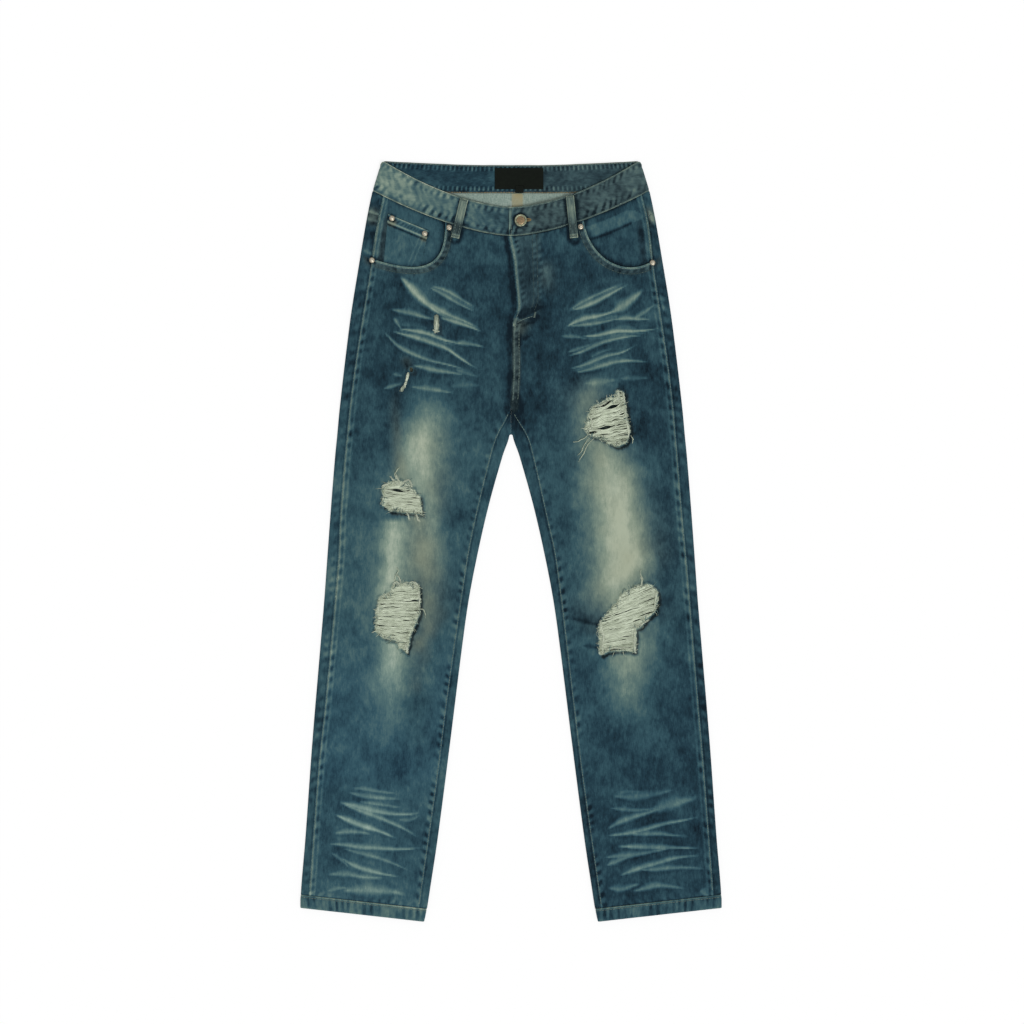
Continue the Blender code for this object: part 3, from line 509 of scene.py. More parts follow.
hemWhiskers = {
    "right": [
        (2.6, 0.46, (-229, -352), (-212, -352), (-193, -356), (-158, -360)),
        (3.2, 0.52, (-232, -357), (-212, -363), (-186, -366), (-154, -367)),
        (2.6, 0.48, (-218, -371), (-186, -375), (-152, -380)),
        (4.2, 0.70, (-246, -371), (-219, -378), (-193, -385), (-165, -389), (-141, -389), (-124, -385)),
        (3.6, 0.62, (-244, -372), (-219, -382), (-196, -390), (-172, -400), (-150, -410), (-128, -424)),
        (2.4, 0.36, (-160, -396), (-141, -398), (-127, -388)),
        (3.9, 0.84, (-252, -388), (-229, -399), (-207, -407), (-186, -413), (-158, -425)),
        (3.3, 0.55, (-252, -416), (-231, -413), (-217, -414), (-196, -417)),
        (3.6, 0.66, (-260, -431), (-236, -432), (-214, -436), (-186, -437), (-158, -439), (-122, -436)),
        (2.6, 0.50, (-242, -436), (-219, -443), (-193, -449), (-165, -459), (-138, -472)),
        (2.3, 0.46, (-256, -443), (-241, -453), (-228, -466)),
        (3.2, 0.66, (-243, -449), (-226, -461), (-207, -467), (-186, -473), (-154, -478)),
        (3.4, 0.50, (-262, -474), (-236, -473), (-221, -476), (-203, -479), (-174, -479)),
        (2.8, 0.46, (-262, -498), (-243, -493), (-230, -493)),
        (6.6, 0.56, (-240, -497), (-214, -496), (-186, -497), (-158, -500), (-144, -506)),
    ],
    "left": [
        (5.0, 0.34, (144, -363), (176, -365), (204, -361), (238, -352)),
        (2.5, 0.26, (152, -358), (192, -356)),
        (2.8, 0.42, (140, -380), (169, -383), (190, -383), (212, -379)),
        (3.6, 0.54, (135, -411), (155, -399), (176, -392), (200, -385), (226, -376)),
        (7.0, 0.42, (196, -385), (226, -376), (247, -370), (268, -364)),
        (3.4, 0.58, (134, -419), (162, -417), (186, -412), (204, -406), (223, -401), (243, -398), (272, -391)),
        (3.0, 0.48, (160, -417), (190, -417), (212, -416), (229, -419), (258, -420)),
        (3.6, 0.58, (148, -434), (176, -435), (197, -436), (229, -436), (272, -437)),
        (3.4, 0.50, (131, -450), (155, -448), (172, -447), (190, -444), (209, -440), (237, -435)),
        (3.2, 0.48, (134, -462), (155, -453), (178, -446)),
        (3.7, 0.56, (151, -477), (172, -469), (190, -463), (206, -459), (223, -453), (243, -449), (272, -447)),
        (3.2, 0.46, (180, -468), (204, -467), (226, -465), (247, -464), (279, -466)),
        (4.2, 0.48, (137, -493), (158, -496), (172, -490), (186, -487)),
        (3.6, 0.48, (172, -498), (194, -493), (209, -489), (226, -491), (250, -494)),
        (6.0, 0.34, (268, -496), (280, -506)),
    ],
}
shades = {  # painted shade in creases and folds, in millimetres, laid out like the whiskers
    "right": [
        (4.0, 0.20, (-166, 206), (-163, 172), (-161, 140)),
        (3.4, 0.30, (-152, 257), (-149, 250), (-145, 245)),
        (4.0, 0.45, (-188, 486), (-193, 450), (-199, 412)),
        (3.4, 1.20, (-5, 205), (-3, 193), (-1, 176)),
    ],
    "left": [
        (3.8, 1.25, (3, 318), (16, 321), (29, 326), (46, 333)),
        (3.0, 0.95, (25, 308), (33, 313), (41, 321)),
        (2.8, 0.50, (12, 304), (22, 307), (30, 312)),
        (2.2, 0.80, (13, 298), (13, 284), (12, 268)),
        (2.4, 0.50, (15, 284), (22, 287), (32, 294)),
        (3.0, 0.70, (15, 202), (11, 188), (6, 174)),
        (3.2, 0.70, (86, -110), (108, -116), (130, -121)),
        (2.8, 0.60, (102, -149), (128, -153)),
        (4.0, 0.60, (152, 226), (158, 214), (163, 200)),
    ],
}
fades = {  # bleached areas in millimetres: middle, reach each way, strength
    "right": [
        table("y middle inward outward strength", [
            (226, -112, 26, 26, 0.00), (204, -114, 32, 30, 0.22), (176, -117, 38, 38, 0.60),
            (145, -131, 42, 34, 0.77), (117, -133, 38, 36, 0.88), (84, -127, 28, 54, 0.74),
            (50, -120, 24, 62, 0.54), (20, -116, 26, 50, 0.46), (-20, -118, 28, 30, 0.42),
            (-60, -118, 26, 26, 0.30), (-110, -120, 22, 22, 0.12), (-160, -120, 22, 22, 0.00),
        ]),
        table("y middle inward outward strength", [
            (34, -166, 18, 22, 0.00), (26, -166, 20, 24, 0.74), (10, -166, 22, 25, 0.86),
            (-30, -167, 24, 26, 0.84), (-66, -170, 26, 27, 0.84), (-110, -172, 27, 26, 0.80),
            (-150, -168, 27, 26, 0.84), (-176, -168, 27, 26, 0.66), (-215, -172, 30, 34, 0.40),
            (-250, -172, 32, 36, 0.20), (-300, -172, 32, 36, 0.00),
        ]),
    ],
    "left": [
        table("y middle inward outward strength", [
            (240, 122, 22, 30, 0.00), (222, 118, 28, 34, 0.38), (200, 112, 30, 34, 0.46),
            (165, 104, 32, 26, 0.46), (140, 126, 46, 44, 0.60), (105, 140, 52, 46, 0.74),
            (70, 150, 58, 42, 0.92), (37, 155, 58, 42, 0.98), (0, 160, 58, 42, 1.00),
            (-28, 163, 56, 45, 1.00), (-55, 155, 54, 44, 0.88), (-84, 148, 50, 40, 0.70),
            (-125, 178, 46, 36, 0.54), (-156, 170, 50, 46, 0.64), (-176, 168, 48, 46, 0.62),
            (-206, 171, 42, 38, 0.53), (-238, 170, 32, 30, 0.33), (-275, 170, 30, 30, 0.00),
        ]),
    ],
}
stains = {  # brownish tint in millimetres: middle, half width, strength
    "right": [
        table("y middle half strength", [
            (240, -150, 8, 0.0), (200, -164, 8, 0.2), (150, -162, 8, 0.5), (100, -156, 12, 0.7),
            (60, -142, 16, 0.4), (14, -126, 20, 0.7), (-40, -124, 24, 0.85), (-110, -120, 24, 0.7),
            (-150, -132, 24, 0.8), (-218, -136, 22, 0.7), (-262, -134, 24, 0.4), (-300, -132, 24, 0.1),
            (-330, -126, 26, 0.0),
        ]),
        table("y middle half strength", [
            (264, -149, 5, 0.0), (256, -149, 7, 0.7), (247, -147, 6, 0.5), (240, -146, 4, 0.0),
        ]),
        table("y middle half strength", [
            (180, -120, 26, 0.0), (140, -122, 26, 0.5), (90, -112, 26, 0.5), (40, -106, 16, 0.3),
            (10, -104, 16, 0.0),
        ]),
    ],
    "left": [
        table("y middle half strength", [
            (240, 112, 24, 0.0), (210, 110, 26, 0.5), (140, 130, 30, 0.6), (90, 140, 34, 0.7),
            (30, 158, 40, 0.6), (-20, 166, 40, 0.8), (-60, 152, 36, 0.7), (-110, 150, 50, 0.4),
            (-180, 172, 40, 0.3), (-240, 172, 36, 0.2), (-290, 172, 36, 0.0),
        ]),
        table("y middle half strength", [
            (404, 51, 12, 0.0), (386, 51, 12, 0.3), (362, 50, 12, 0.3), (344, 50, 12, 0.0),
        ]),
        table("y middle half strength", [
            (320, 15, 11, 0.0), (308, 15, 11, 0.7), (296, 13, 9, 0.6), (284, 11, 7, 0.0),
        ]),
    ],
}
plainWear = {  # how washed out the cloth is away from the fades
    "right": table("y wear", [
        (0.52, 0.27), (0.42, 0.24), (0.30, 0.21), (0.20, 0.26), (0.10, 0.33), (-0.05, 0.38),
        (-0.20, 0.35), (-0.35, 0.32), (-0.45, 0.34), (-0.54, 0.42),
    ]),
    "left": table("y wear", [
        (0.52, 0.27), (0.42, 0.23), (0.30, 0.20), (0.20, 0.19), (0.10, 0.25), (-0.05, 0.26),
        (-0.20, 0.24), (-0.35, 0.20), (-0.45, 0.20), (-0.54, 0.26),
    ]),
}
softFolds = [  # troughs and ridges on the front in millimetres: three points, width, height
    ((8, 186), (-18, 200), (-60, 226), 7, -0.9),
    ((4, 176), (-22, 176), (-70, 190), 9, 0.7),
    ((8, 190), (28, 208), (62, 236), 7, -0.8),
    ((6, 172), (30, 172), (76, 184), 9, 0.6),
    ((14, 322), (40, 312), (64, 320), 6, -0.7),
    ((90, -112), (112, -116), (134, -110), 5, -0.9),
    ((100, -150), (116, -151), (130, -147), 5, -0.8),
    ((-196, -128), (-222, -140), (-250, -136), 9, -0.7),
    ((-104, -96), (-92, -110), (-80, -136), 9, 0.8),
    ((204, -104), (226, -118), (252, -112), 9, -0.7),
    ((-168, 86), (-196, 110), (-226, 116), 12, 0.8),
    ((166, 146), (196, 150), (230, 176), 12, 0.7),
    ((-150, -220), (-196, -250), (-250, -262), 16, 0.9),
    ((130, -250), (190, -262), (258, -292), 16, 0.9),
    ((-205, 60), (-212, -20), (-214, -100), 15, 0.7),
    ((212, 70), (214, -10), (222, -96), 15, 0.7),
    ((-60, 300), (-56, 220), (-66, 140), 18, 0.6),
    ((70, 290), (66, 220), (70, 130), 18, 0.6),
    ((-92, 392), (-110, 384), (-140, 378), 7, -0.6),
    ((112, 396), (132, 384), (170, 380), 7, -0.6),
]


def eased(points, times=2):  # a polyline with its corners cut until it is soft
    line = np.array(points, float)
    for _ in range(times):
        a, b = line[:-1], line[1:]
        cut = np.stack([a * 0.75 + b * 0.25, a * 0.25 + b * 0.75], axis=1).reshape(-1, line.shape[1])
        line = np.vstack([line[:1], cut, line[-1:]])
    return line


coolness = {  # how blue the cloth turns down the leg: y and strength
    "right": ((-0.54, -0.40, -0.36, -0.33, -0.20, -0.10), (0.20, 0.22, 0.30, 0.50, 0.40, 0.0)),
    "left": ((-0.54, -0.40, -0.20, -0.10), (0.18, 0.18, 0.16, 0.0)),
}


def strokes(x, y, rows):  # soft flames, and the darker gap beside each
    mark, gap = np.zeros(x.shape), np.zeros(x.shape)
    for wide, strength, *points in rows:
        wide = wide * 0.001
        away, run, length = alongLine(x, y, eased(points) * 0.001, 4 * wide)
        near = np.abs(away) < 4 * wide
        rightward = 1 if points[-1][0] > points[0][0] else -1
        share, a = run[near] / length, away[near] * rightward
        above = a > 0
        a = np.where(above, 0.88 * a, -1.6 * a)
        half = wide * (0.40 + 1.14 * smooth(share / 0.32) * smooth((1 - share) / 0.7))
        half = half * (1 + 0.16 * softNoise(x[near], y[near], 0.012, int(abs(points[0][0]))))
        fade = smooth(share / 0.09) * smooth((1 - share) / 0.20)
        fade = strength * fade * (1 + 0.12 * softNoise(x[near], y[near], 0.016, 19))
        haze = 0.24 * bell(a, 2.6 * half) * above
        mark[near] = np.maximum(mark[near], fade * np.maximum(bell(a, half), haze))
        gap[near] = np.maximum(gap[near], fade * bell(a, 2.0 * half))
    return np.clip(mark, 0, 1), np.clip(gap - mark, 0, 1)


def creaseRise(x, y, rows, reach=None):  # troughs and ridges that taper at both ends
    rise = np.zeros(np.shape(x))
    for start, middle, end, width, height in rows:
        wide = width * 0.001
        far = reach or 3 * wide
        away, run, length = alongLine(x, y, bowed(start, middle, end) * 0.001, far)
        near = np.abs(away) < far
        taper = smooth(run[near] / length / 0.3) * smooth((1 - run[near] / length) / 0.35)
        rise[near] += height * 0.001 * bell(away[near], wide) * taper
    return rise


def ropes(away, run, start, depth, pitch, seed, far=0.0):  # slanted puckers beside a seam, -1 to 1
    wobble = softNoise(run, run * 0, pitch * 2.3, seed) * 0.6
    phase = (run + 0.45 * away) / pitch + wobble
    strength = np.clip(0.75 + 0.8 * softNoise(run, away * 3, pitch * 1.7, seed + 1), 0.1, 1.4)
    near = bell(away - start, depth) + far * bell(away + start, depth)
    wave = np.cos(2 * math.pi * phase)
    return near * strength * np.sign(wave) * np.abs(wave) ** 0.7


# seams on the front

seamColumns = "pitch rope start depth far crown crownAt crownWidth ditch second".split()
seamLooks = {  # how each kind of seam puckers and wears, in metres and shares
    "outseam": (0.0165, 0.75, 0.0052, 0.0034, 0.8, 0.40, 0.0022, 0.0017, 0.20, 0.2),
    "inseam": (0.0145, 1.3, 0.0054, 0.0036, 0.1, 0.22, 0.0022, 0.0011, 0.16, 0.0),
    "mouth": (0.0088, 0.7, 0.0062, 0.0030, 0.0, 0.52, 0.0010, 0.0016, 0.0, 0.0),
    "hem": (0.0120, 0.6, 0.0040, 0.0028, 0.0, 0.0, 0.0022, 0.0010, 0.20, 0.0),
    "band": (0.0110, 0.35, 0.0045, 0.0030, 0.0, 0.0, 0.0022, 0.0010, 0.36, 0.0),
    "fly": (0.0094, 1.3, 0.0085, 0.0030, 0.0, 0.60, 0.0012, 0.0025, 0.0, 0.0),
    "seat": (0.0094, 0.9, 0.0060, 0.0030, 0.4, 0.34, 0.0016, 0.0015, 0.12, 0.0),
    "placket": (0.0098, 0.7, 0.0, 0.0032, 0.0, 0.06, 0.0, 0.0022, 0.0, 0.0),
}
overlapShade = {"fly": 0.50, "seat": 0.24}  # the shadow that the overlap throws


def frontLines():  # kind of seam, its line and the side that puckers
    lines = []
    for name, side in sides.items():
        foot = meeting(outseam[name], hemLine)
        lines.append(("outseam", seamLine(outseam, name, foot - 0.01, 0.49), -side))
        foot = meeting(inseam[name], hemLine)
        lines.append(("inseam", seamLine(inseam, name, foot - 0.01, 0.183), side))
        lines.append(("mouth", mouthLine(name) * (side, 1), -side))
        lines.append(("hem", hemRow(name, shape["hemDepth"]), side))
    lines.append(("band", bandLine(frontSeam, -0.19, 0.19), -1))
    for out in (0.0325, 0.0415):
        lines.append(("placket", np.array([(out, 0.425), (out + 0.001, 0.385), (out + 0.001, 0.345)]), 1))
    for kind, high, low in (("fly", 0.434, 0.302), ("seat", 0.306, shape["crotch"])):
        ys = np.arange(high, low, -0.006)
        lines.append((kind, columns(flyEdge(ys), ys), 1))
    return lines


frontSeams = frontLines()


def seamMarks(x, y):  # wear and rise beside every seam of the front
    wear, rise = np.zeros(x.shape), np.zeros(x.shape)
    for i, (kind, line, way) in enumerate(frontSeams):
        look = dict(zip(seamColumns, seamLooks[kind]))
        away, run = alongLine(x, y, line, 0.016)[:2]
        near = np.abs(away) < 0.016
        a, r = away[near] * way, run[near]
        wave = ropes(a, r, look["start"], look["depth"], look["pitch"], 20 + i, look["far"]) * look["rope"]
        wave = np.clip(wave, -1.3, 0.7) * (1 - 0.45 * smooth((y[near] + 0.10) / 0.15) * (kind == "inseam"))
        # the ditch darkens each seam's joint; at the waistband's foot it also stands for painted shadow under
        # the band
        ditch = bell(a, 0.0009)
        crown = bell(a - look["crownAt"], look["crownWidth"])
        fold = bell(a - look["crownAt"] - 0.0066, 0.0011)
        wear[near] += 0.20 * wave + look["crown"] * crown + look["second"] * fold - look["ditch"] * ditch
        rise[near] += 0.00032 * wave + 0.0007 * look["crown"] * crown - 0.0016 * look["ditch"] * ditch
        deep = overlapShade.get(kind, 0)
        wear[near] -= deep * bell(a + 0.0040, 0.0040) * smooth((r + 0.004) / 0.008)
    return wear, rise


def fittingShadow(x, y):  # painted shadow round loops, rivets and the button
    dark = np.zeros(x.shape)
    for ends in loopPlaces["front"].values():
        away = np.abs(alongLine(x, y, np.array(ends), 0.02)[0]) - loopPlaces["width"] / 2
        dark = np.maximum(dark, 1.2 * bell(away - 0.0010, 0.0032))
    for middleX, middleY in rivet["places"].values():
        away = np.hypot(x - middleX, y - middleY) - rivet["radius"]
        dark = np.maximum(dark, bell(away - 0.0008, 0.0020))
    away = np.hypot(x - button["place"][0], y - button["place"][1]) - button["radius"]
    return np.maximum(dark, bell(away - 0.0008, 0.0022))


rips = {  # outlines in millimetres
    "thighRight": [
        (-181, 72), (-181, 50), (-175, 45), (-170, 43), (-162, 43), (-153, 40), (-146, 41), (-138, 40),
        (-128, 39), (-129, 53), (-131, 63), (-135, 66), (-142, 72), (-147, 81), (-158, 84), (-167, 84),
        (-177, 79),
    ],
    "kneeRight": [
        (-165, -63), (-152, -60), (-133, -63), (-131, -73), (-131, -85), (-131, -104),
        (-137, -116), (-144, -132), (-146, -146), (-149, -157), (-157, -150), (-163, -139),
        (-180, -138), (-189, -129), (-191, -115), (-190, -97), (-186, -82), (-170, -72),
    ],
    "thighLeft": [
        (150, 212), (159, 211), (160, 200), (162, 186), (163, 172), (165, 170), (168, 155), (166, 147),
        (161, 138), (153, 135), (144, 138), (135, 142), (127, 146), (116, 149), (111, 154), (106, 158),
        (109, 166), (110, 176), (115, 185), (120, 192), (131, 198), (142, 201), (148, 203),
    ],
    "kneeLeft": [
        (178, -64), (197, -63), (207, -72), (207, -89), (203, -100), (190, -112), (185, -120),
        (176, -125), (176, -140), (175, -156), (155, -155), (139, -156), (128, -160), (127, -145),
        (126, -122), (132, -111), (146, -94), (160, -75),
    ],
    "slitRight": [(-107, 314), (-104, 314), (-103, 306), (-103, 297), (-110, 296), (-108, 304)],
    "tearRight": [(-143, 246), (-140, 246), (-139, 243), (-140, 240), (-143, 240), (-144, 243)],
}
ripSides = {
    "right": ["thighRight", "kneeRight", "slitRight", "tearRight"],
    "left": ["thighLeft", "kneeLeft"],
}


def ripOutline(name, spacing=0.0016):  # a torn edge: the outline with small uneven bites
    corners = [np.array(p, float) * 0.001 for p in rips[name]]
    line = divided(corners + corners[:1], spacing)[:-1]
    middle = line.mean(axis=0)
    outward = unit(line - middle)
    bite = softNoise(line[:, 0], line[:, 1], 0.0023, len(corners)) * 0.0012
    bite += softNoise(line[:, 0], line[:, 1], 0.006, len(corners) + 5) * 0.0014
    return line + outward * np.where(len(corners) > 8, 1, 0.2) * bite[:, None]


ripEdges = {name: ripOutline(name) for name in rips}


def ripMarks(x, y, names):  # frayed, bleached cloth round a rip, its lifted edge, and painted shadow round it
    wear, rise, shade = np.zeros(x.shape), np.zeros(x.shape), np.zeros(x.shape)
    for name in names:
        line = closedLoop(ripEdges[name])
        a = np.abs(alongLine(x, y, line, 0.012)[0])
        ragged = softNoise(x, y, 0.003, 61)
        big = 1.0 if name in tears else 0.25
        wear = np.maximum(wear, big * bell(a, 0.0018 + 0.0010 * ragged))
        # painted shadow: a dark ring just outside the pale edge, and a shifted copy of the outline that
        # darkens the lower right side
        ring = 0.45 * big * bell(a - 0.0034, 0.0016) * smooth(ragged + 0.6)
        shade = np.maximum(shade, ring)
        under = np.abs(alongLine(x, y, line + (0.0034, -0.0036), 0.012)[0])
        shade = np.maximum(shade, (1.0 if big == 1 else 0.22) * bell(under, 0.0024 + 0.0008 * ragged))
        rise += 0.0007 * bell(a, 0.006) * (1 + 0.6 * softNoise(x, y, 0.012, 62))
    return wear, rise, shade


def frontRelief(x, y, name):
    rise = creaseRise(x, y, softFolds) + seamMarks(x, y)[1]
    rise += 0.0004 * strokes(x, y, whiskers[name])[0] + 0.0004 * strokes(x, y, hemWhiskers[name])[0]
    rise -= 0.0005 * strokes(x, y, shades[name])[0]
    rise += ripMarks(x, y, ripSides[name])[1]
    rise += 0.00016 * softNoise(x, y, 0.016, 3) + 0.00030 * softNoise(x, y, 0.05, 4)
    return rise


def frontSurface(x, y, name):
    x, y = np.asarray(x, float), np.asarray(y, float)
    rise = flyRise(x, y) if name == "left" else 0
    return frontLevel(x, y) + rise + frontRelief(x, y, name)


def rowsAt(y, rows):  # the columns of a table at given heights
    order = np.argsort(rows["y"])
    return {key: np.interp(y * 1000, rows["y"][order], rows[key][order]) for key in rows}


def fadeMark(x, y, rows):
    at = rowsAt(y, rows)
    away = np.abs(x) * 1000 - np.abs(at["middle"])
    reach = np.where(away < 0, at["inward"], at["outward"])
    away = away + 3 * softNoise(x, y, 0.024, 71)
    return at["strength"] * np.exp(-1.4 * np.abs(away / reach) ** 2.1)


def stainMark(x, y, rows):
    at = rowsAt(y, rows)
    return at["strength"] * bell(np.abs(x) * 1000 - np.abs(at["middle"]), at["half"])


def frontPaint(x, y, name):  # wear and warmth of the front, 0 to 1; the wear also carries painted shade and shadow
    rows = plainWear[name]
    wear = np.interp(y, rows["y"][::-1], rows["wear"][::-1])
    wear = wear + 0.07 * softNoise(x, y, 0.045, 11) + 0.05 * softNoise(x, y, 0.014, 12)
    for fade in fades[name]:
        mark = fadeMark(x, y, fade) * (1 + 0.08 * softNoise(x, y * 0.25, 0.008, 13))
        wear = wear + (1.0 - wear) * np.clip(mark, 0, 1)
    thigh, shin = strokes(x, y, whiskers[name]), strokes(x, y, hemWhiskers[name])
    mark = np.maximum(0.98 * thigh[0], np.clip(1.25 * shin[0], 0, 1))
    wear = wear + (0.95 - 0.11 * (y < 0) - wear) * mark
    wear = wear - (0.20 if name == "right" else 0.27) * np.maximum(thigh[1], shin[1])
    # painted shade in the creases and folds
    wear = wear - 0.40 * strokes(x, y, shades[name])[0]
    warm = np.zeros(x.shape)
    for stain in stains[name]:
        warm = np.maximum(warm, stainMark(x, y, stain))
    warm = warm * (1 - mark) * (0.8 + 0.3 * softNoise(x, y, 0.02, 14))
    wear = wear + seamMarks(x, y)[0] + 0.10 * np.clip(warm - 0.4, 0, 1)
    # painted shadow round the loops, rivets and the button
    wear = wear - 0.30 * fittingShadow(x, y)
    # painted shadow round the rips, tinted olive
    torn, _, shade = ripMarks(x, y, ripSides[name])
    wear = wear + (1.0 - wear) * 0.9 * torn - 0.60 * shade * (1 - torn)
    warm = np.maximum(warm, 0.8 * shade)
    side = sides[name]
    away = -side * alongLine(x, y, mouths[name] * (side, 1), 0.016)[0]
    strip = smooth((away - 0.001) / 0.005) * smooth((0.0140 - away) / 0.009)
    warm, wear = np.maximum(warm, (0.36 if name == "right" else 0.30) * strip), wear - 0.05 * strip
    yokeEnd = np.hypot((np.abs(x) - 0.196) / 0.012, (y - 0.461) / 0.013)
    warm = np.maximum(warm, 0.55 * np.exp(-(yokeEnd**4)))
    blot = np.hypot((x - 0.0062) / 0.0115, (y - 0.184) / 0.0190)  # a darker patch where the legs part
    wear = wear - 0.50 * np.exp(-(blot**3)) * (1 + 0.4 * softNoise(x, y, 0.006, 72))
    if name == "left":  # the fly's overlap
        overlap = smooth((x - 0.004) / 0.004) * smooth((0.046 - x) / 0.008) * smooth((y - 0.31) / 0.02)
        warm = np.maximum(warm, 0.14 * overlap)
    away = np.abs(alongLine(x, y, frontSeams[-1][1], 0.016)[0] - 0.005)
    warm = np.maximum(warm, 0.45 * smooth((0.007 - away) / 0.002))
    cool = np.interp(y, *coolness[name]) + 0.50 * shin[0]
    return np.clip(wear, 0, 1), np.clip(np.maximum(warm, 0) - cool, -1, 1)


# meshes of cloth

def insideLoops(px, py, loops):  # which points lie in the first loop and outside the others
    order = np.argsort(py)
    sortedX, sortedY = px[order], py[order]
    odd = np.zeros(px.shape, bool)
    for loop in loops:
        for (x0, y0), (x1, y1) in zip(loop, np.roll(loop, -1, axis=0)):
            first, last = np.searchsorted(sortedY, sorted((y0, y1)))
            if last > first:
                ys = sortedY[first:last]
                odd[first:last] ^= sortedX[first:last] < x0 + (ys - y0) * (x1 - x0) / (y1 - y0)
    found = np.empty_like(odd)
    found[order] = odd
    return found


def hexPoints(low, high, spacing):
    rows = []
    ys = np.arange(low[1] + spacing / 2, high[1], spacing * 0.866)
    for i, y in enumerate(ys):
        xs = np.arange(low[0] + spacing * (0.25 + 0.5 * (i % 2)), high[0], spacing)
        rows.append(columns(xs, y))
    return np.vstack(rows)


def fillRegion(loops, spacing):  # points and triangles that fill the first loop less the others
    outline = loops[0]
    spots = hexPoints(outline.min(axis=0), outline.max(axis=0), spacing)
    spots = spots[insideLoops(spots[:, 0], spots[:, 1], loops)]
    for loop in loops:
        reach = 0.55 * min(spacing, 0.004)
        away = alongLine(spots[:, 0], spots[:, 1], closedLoop(loop), reach)[0]
        spots = spots[np.abs(away) > reach]
    border, edges = np.vstack(loops), []
    first = 0
    for loop in loops:
        edges += [(first + i, first + (i + 1) % len(loop)) for i in range(len(loop))]
        first += len(loop)
    points = np.vstack([border, spots])
    found = delaunay_2d_cdt([Vector(p) for p in points.tolist()], edges, [], 0, 1e-9)
    cameFrom = np.array([ids[0] for ids in found[3]])
    triangles = cameFrom[np.array(found[2])]
    middles = points[triangles].mean(axis=1)
    triangles = triangles[insideLoops(middles[:, 0], middles[:, 1], loops)]
    return points, triangles


def newCloth():
    return {"points": ([], []), "known": ({}, {}), "faces": ([], []), "partner": {}}


def clothPoint(piece, face, point):  # face 0 is the outer face and 1 the inner
    key = tuple(round(float(c), 6) for c in point)
    known = piece["known"][face]
    if key not in known:
        known[key] = len(piece["points"][face])
        piece["points"][face].append(tuple(float(c) for c in point))
    return known[key]


def fillCloth(piece, loops, outerZ, innerZ, spacing, insideSpacing):
    borderCount = sum(len(loop) for loop in loops)
    border = []
    for face, height, step in ((0, outerZ, spacing), (1, innerZ, insideSpacing)):
        points, triangles = fillRegion(loops, step)
        z = height(points[:, 0], points[:, 1])
        full = np.column_stack([points, z])
        ids = [clothPoint(piece, face, p) for p in full[:borderCount]]
        border.append(ids)
        first = len(piece["points"][face])
        piece["points"][face].extend(map(tuple, full[borderCount:].tolist()))
        ids = np.array(ids + list(range(first, first + len(full) - borderCount)))
        piece["faces"][face].extend(ids[triangles].tolist())
    piece["partner"].update(zip(border[0], border[1]))


def bridgeCloth(piece, rings):  # rows of (outer, inner) pairs with the same count
    rows = []
    for ring in rings:
        row = []
        for outer, inner in ring:
            a, b = clothPoint(piece, 0, outer), clothPoint(piece, 1, inner)
            piece["partner"][a] = b
            row.append((a, b))
        rows.append(row)
    for one, two in zip(rows, rows[1:]):
        for i in range(len(one) - 1):
            for face in (0, 1):
                corners = [one[i][face], one[i + 1][face], two[i + 1][face], two[i][face]]
                corners = list(dict.fromkeys(corners))
                if len(corners) > 2:
                    piece["faces"][face].append(corners)


def seenThrough(x, y):
    shaded = np.zeros(len(x))
    for outline in ripEdges.values():
        away = np.abs(alongLine(x, y, closedLoop(outline), 0.010)[0])
        inside = insideLoops(x, y, [outline])
        shaded = np.maximum(shaded, np.where(inside, 1.0, smooth((0.008 - away) / 0.006)))
    return shaded


def newObject(name, data):
    made = bpy.data.objects.new(name, data)
    bpy.context.scene.collection.objects.link(made)
    return made


def newPiece(name, spots, faces, material, layers, sharp=None):  # sharp is an angle in degrees
    mesh = bpy.data.meshes.new(name)
    mesh.from_pydata(spots, [], faces)
    if sharp:
        work = bmesh.new()
        work.from_mesh(mesh)
        bmesh.ops.recalc_face_normals(work, faces=work.faces)
        work.to_mesh(mesh)
        work.free()
    mesh.shade_smooth()
    if sharp:
        mesh.set_sharp_from_angle(angle=math.radians(sharp))
    for key, values in layers.items():
        layer = mesh.attributes.new(key, "FLOAT", "POINT")
        layer.data.foreach_set("value", np.asarray(values, np.float32))
    mesh.materials.append(material)
    made = newObject(name, mesh)
    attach(made, "root")
    return made


def finishCloth(piece, name, material, paint):
    outer, inner = piece["points"]
    shift, uses, rims = len(outer), {}, []
    for corners in piece["faces"][0]:
        for a, b in zip(corners, corners[1:] + corners[:1]):
            key = (a, b) if a < b else (b, a)
            uses[key] = uses.get(key, 0) + 1
    for (a, b), count in uses.items():
        if count == 1:
            rim = [a, b, piece["partner"][b] + shift, piece["partner"][a] + shift]
            rims.append(list(dict.fromkeys(rim)))
    faces = piece["faces"][0] + [[i + shift for i in f] for f in piece["faces"][1]] + rims
    spots = np.array(outer + inner)
    wear, warm = paint(spots[:, 0], spots[:, 1], spots[:, 2])
    wrong = np.concatenate([np.zeros(shift), np.ones(len(inner))])
    if "back" in name:  # the shade inside the leg, seen through the tears
        shaded = seenThrough(spots[:, 0], spots[:, 1]) * wrong
        wear, warm, wrong = wear * (1 - shaded), np.maximum(warm, 0.9 * shaded), wrong * (1 - shaded)
    # the wear layer also carries painted shade and shadow
    layers = {"wear": wear, "warm": warm, "wrong": wrong}
    return newPiece(name, outer + inner, faces, material, layers, cloth["sharp"])


def foldRing(fold, side, wall, line, high, low):  # pairs round a fold, from back to front
    edge, way, base = fold
    reach = float(np.linalg.norm(edge - base))
    middle, half = (low + high) / 2, (high - low) / 2
    ring, count = [], cloth["foldSteps"]
    for i in range(count + 1):
        turn = math.pi * i / count
        pair = []
        for less in (0, wall):
            spot = base + way * (reach - less) * math.sin(turn)
            y = float(line(spot[0])) if line else spot[1]
            if i in (0, count):
                spot, y = base, base[1]
            pair.append((side * spot[0], y, middle - (half - less) * math.cos(turn)))
        ring.append(tuple(pair))
    return ring


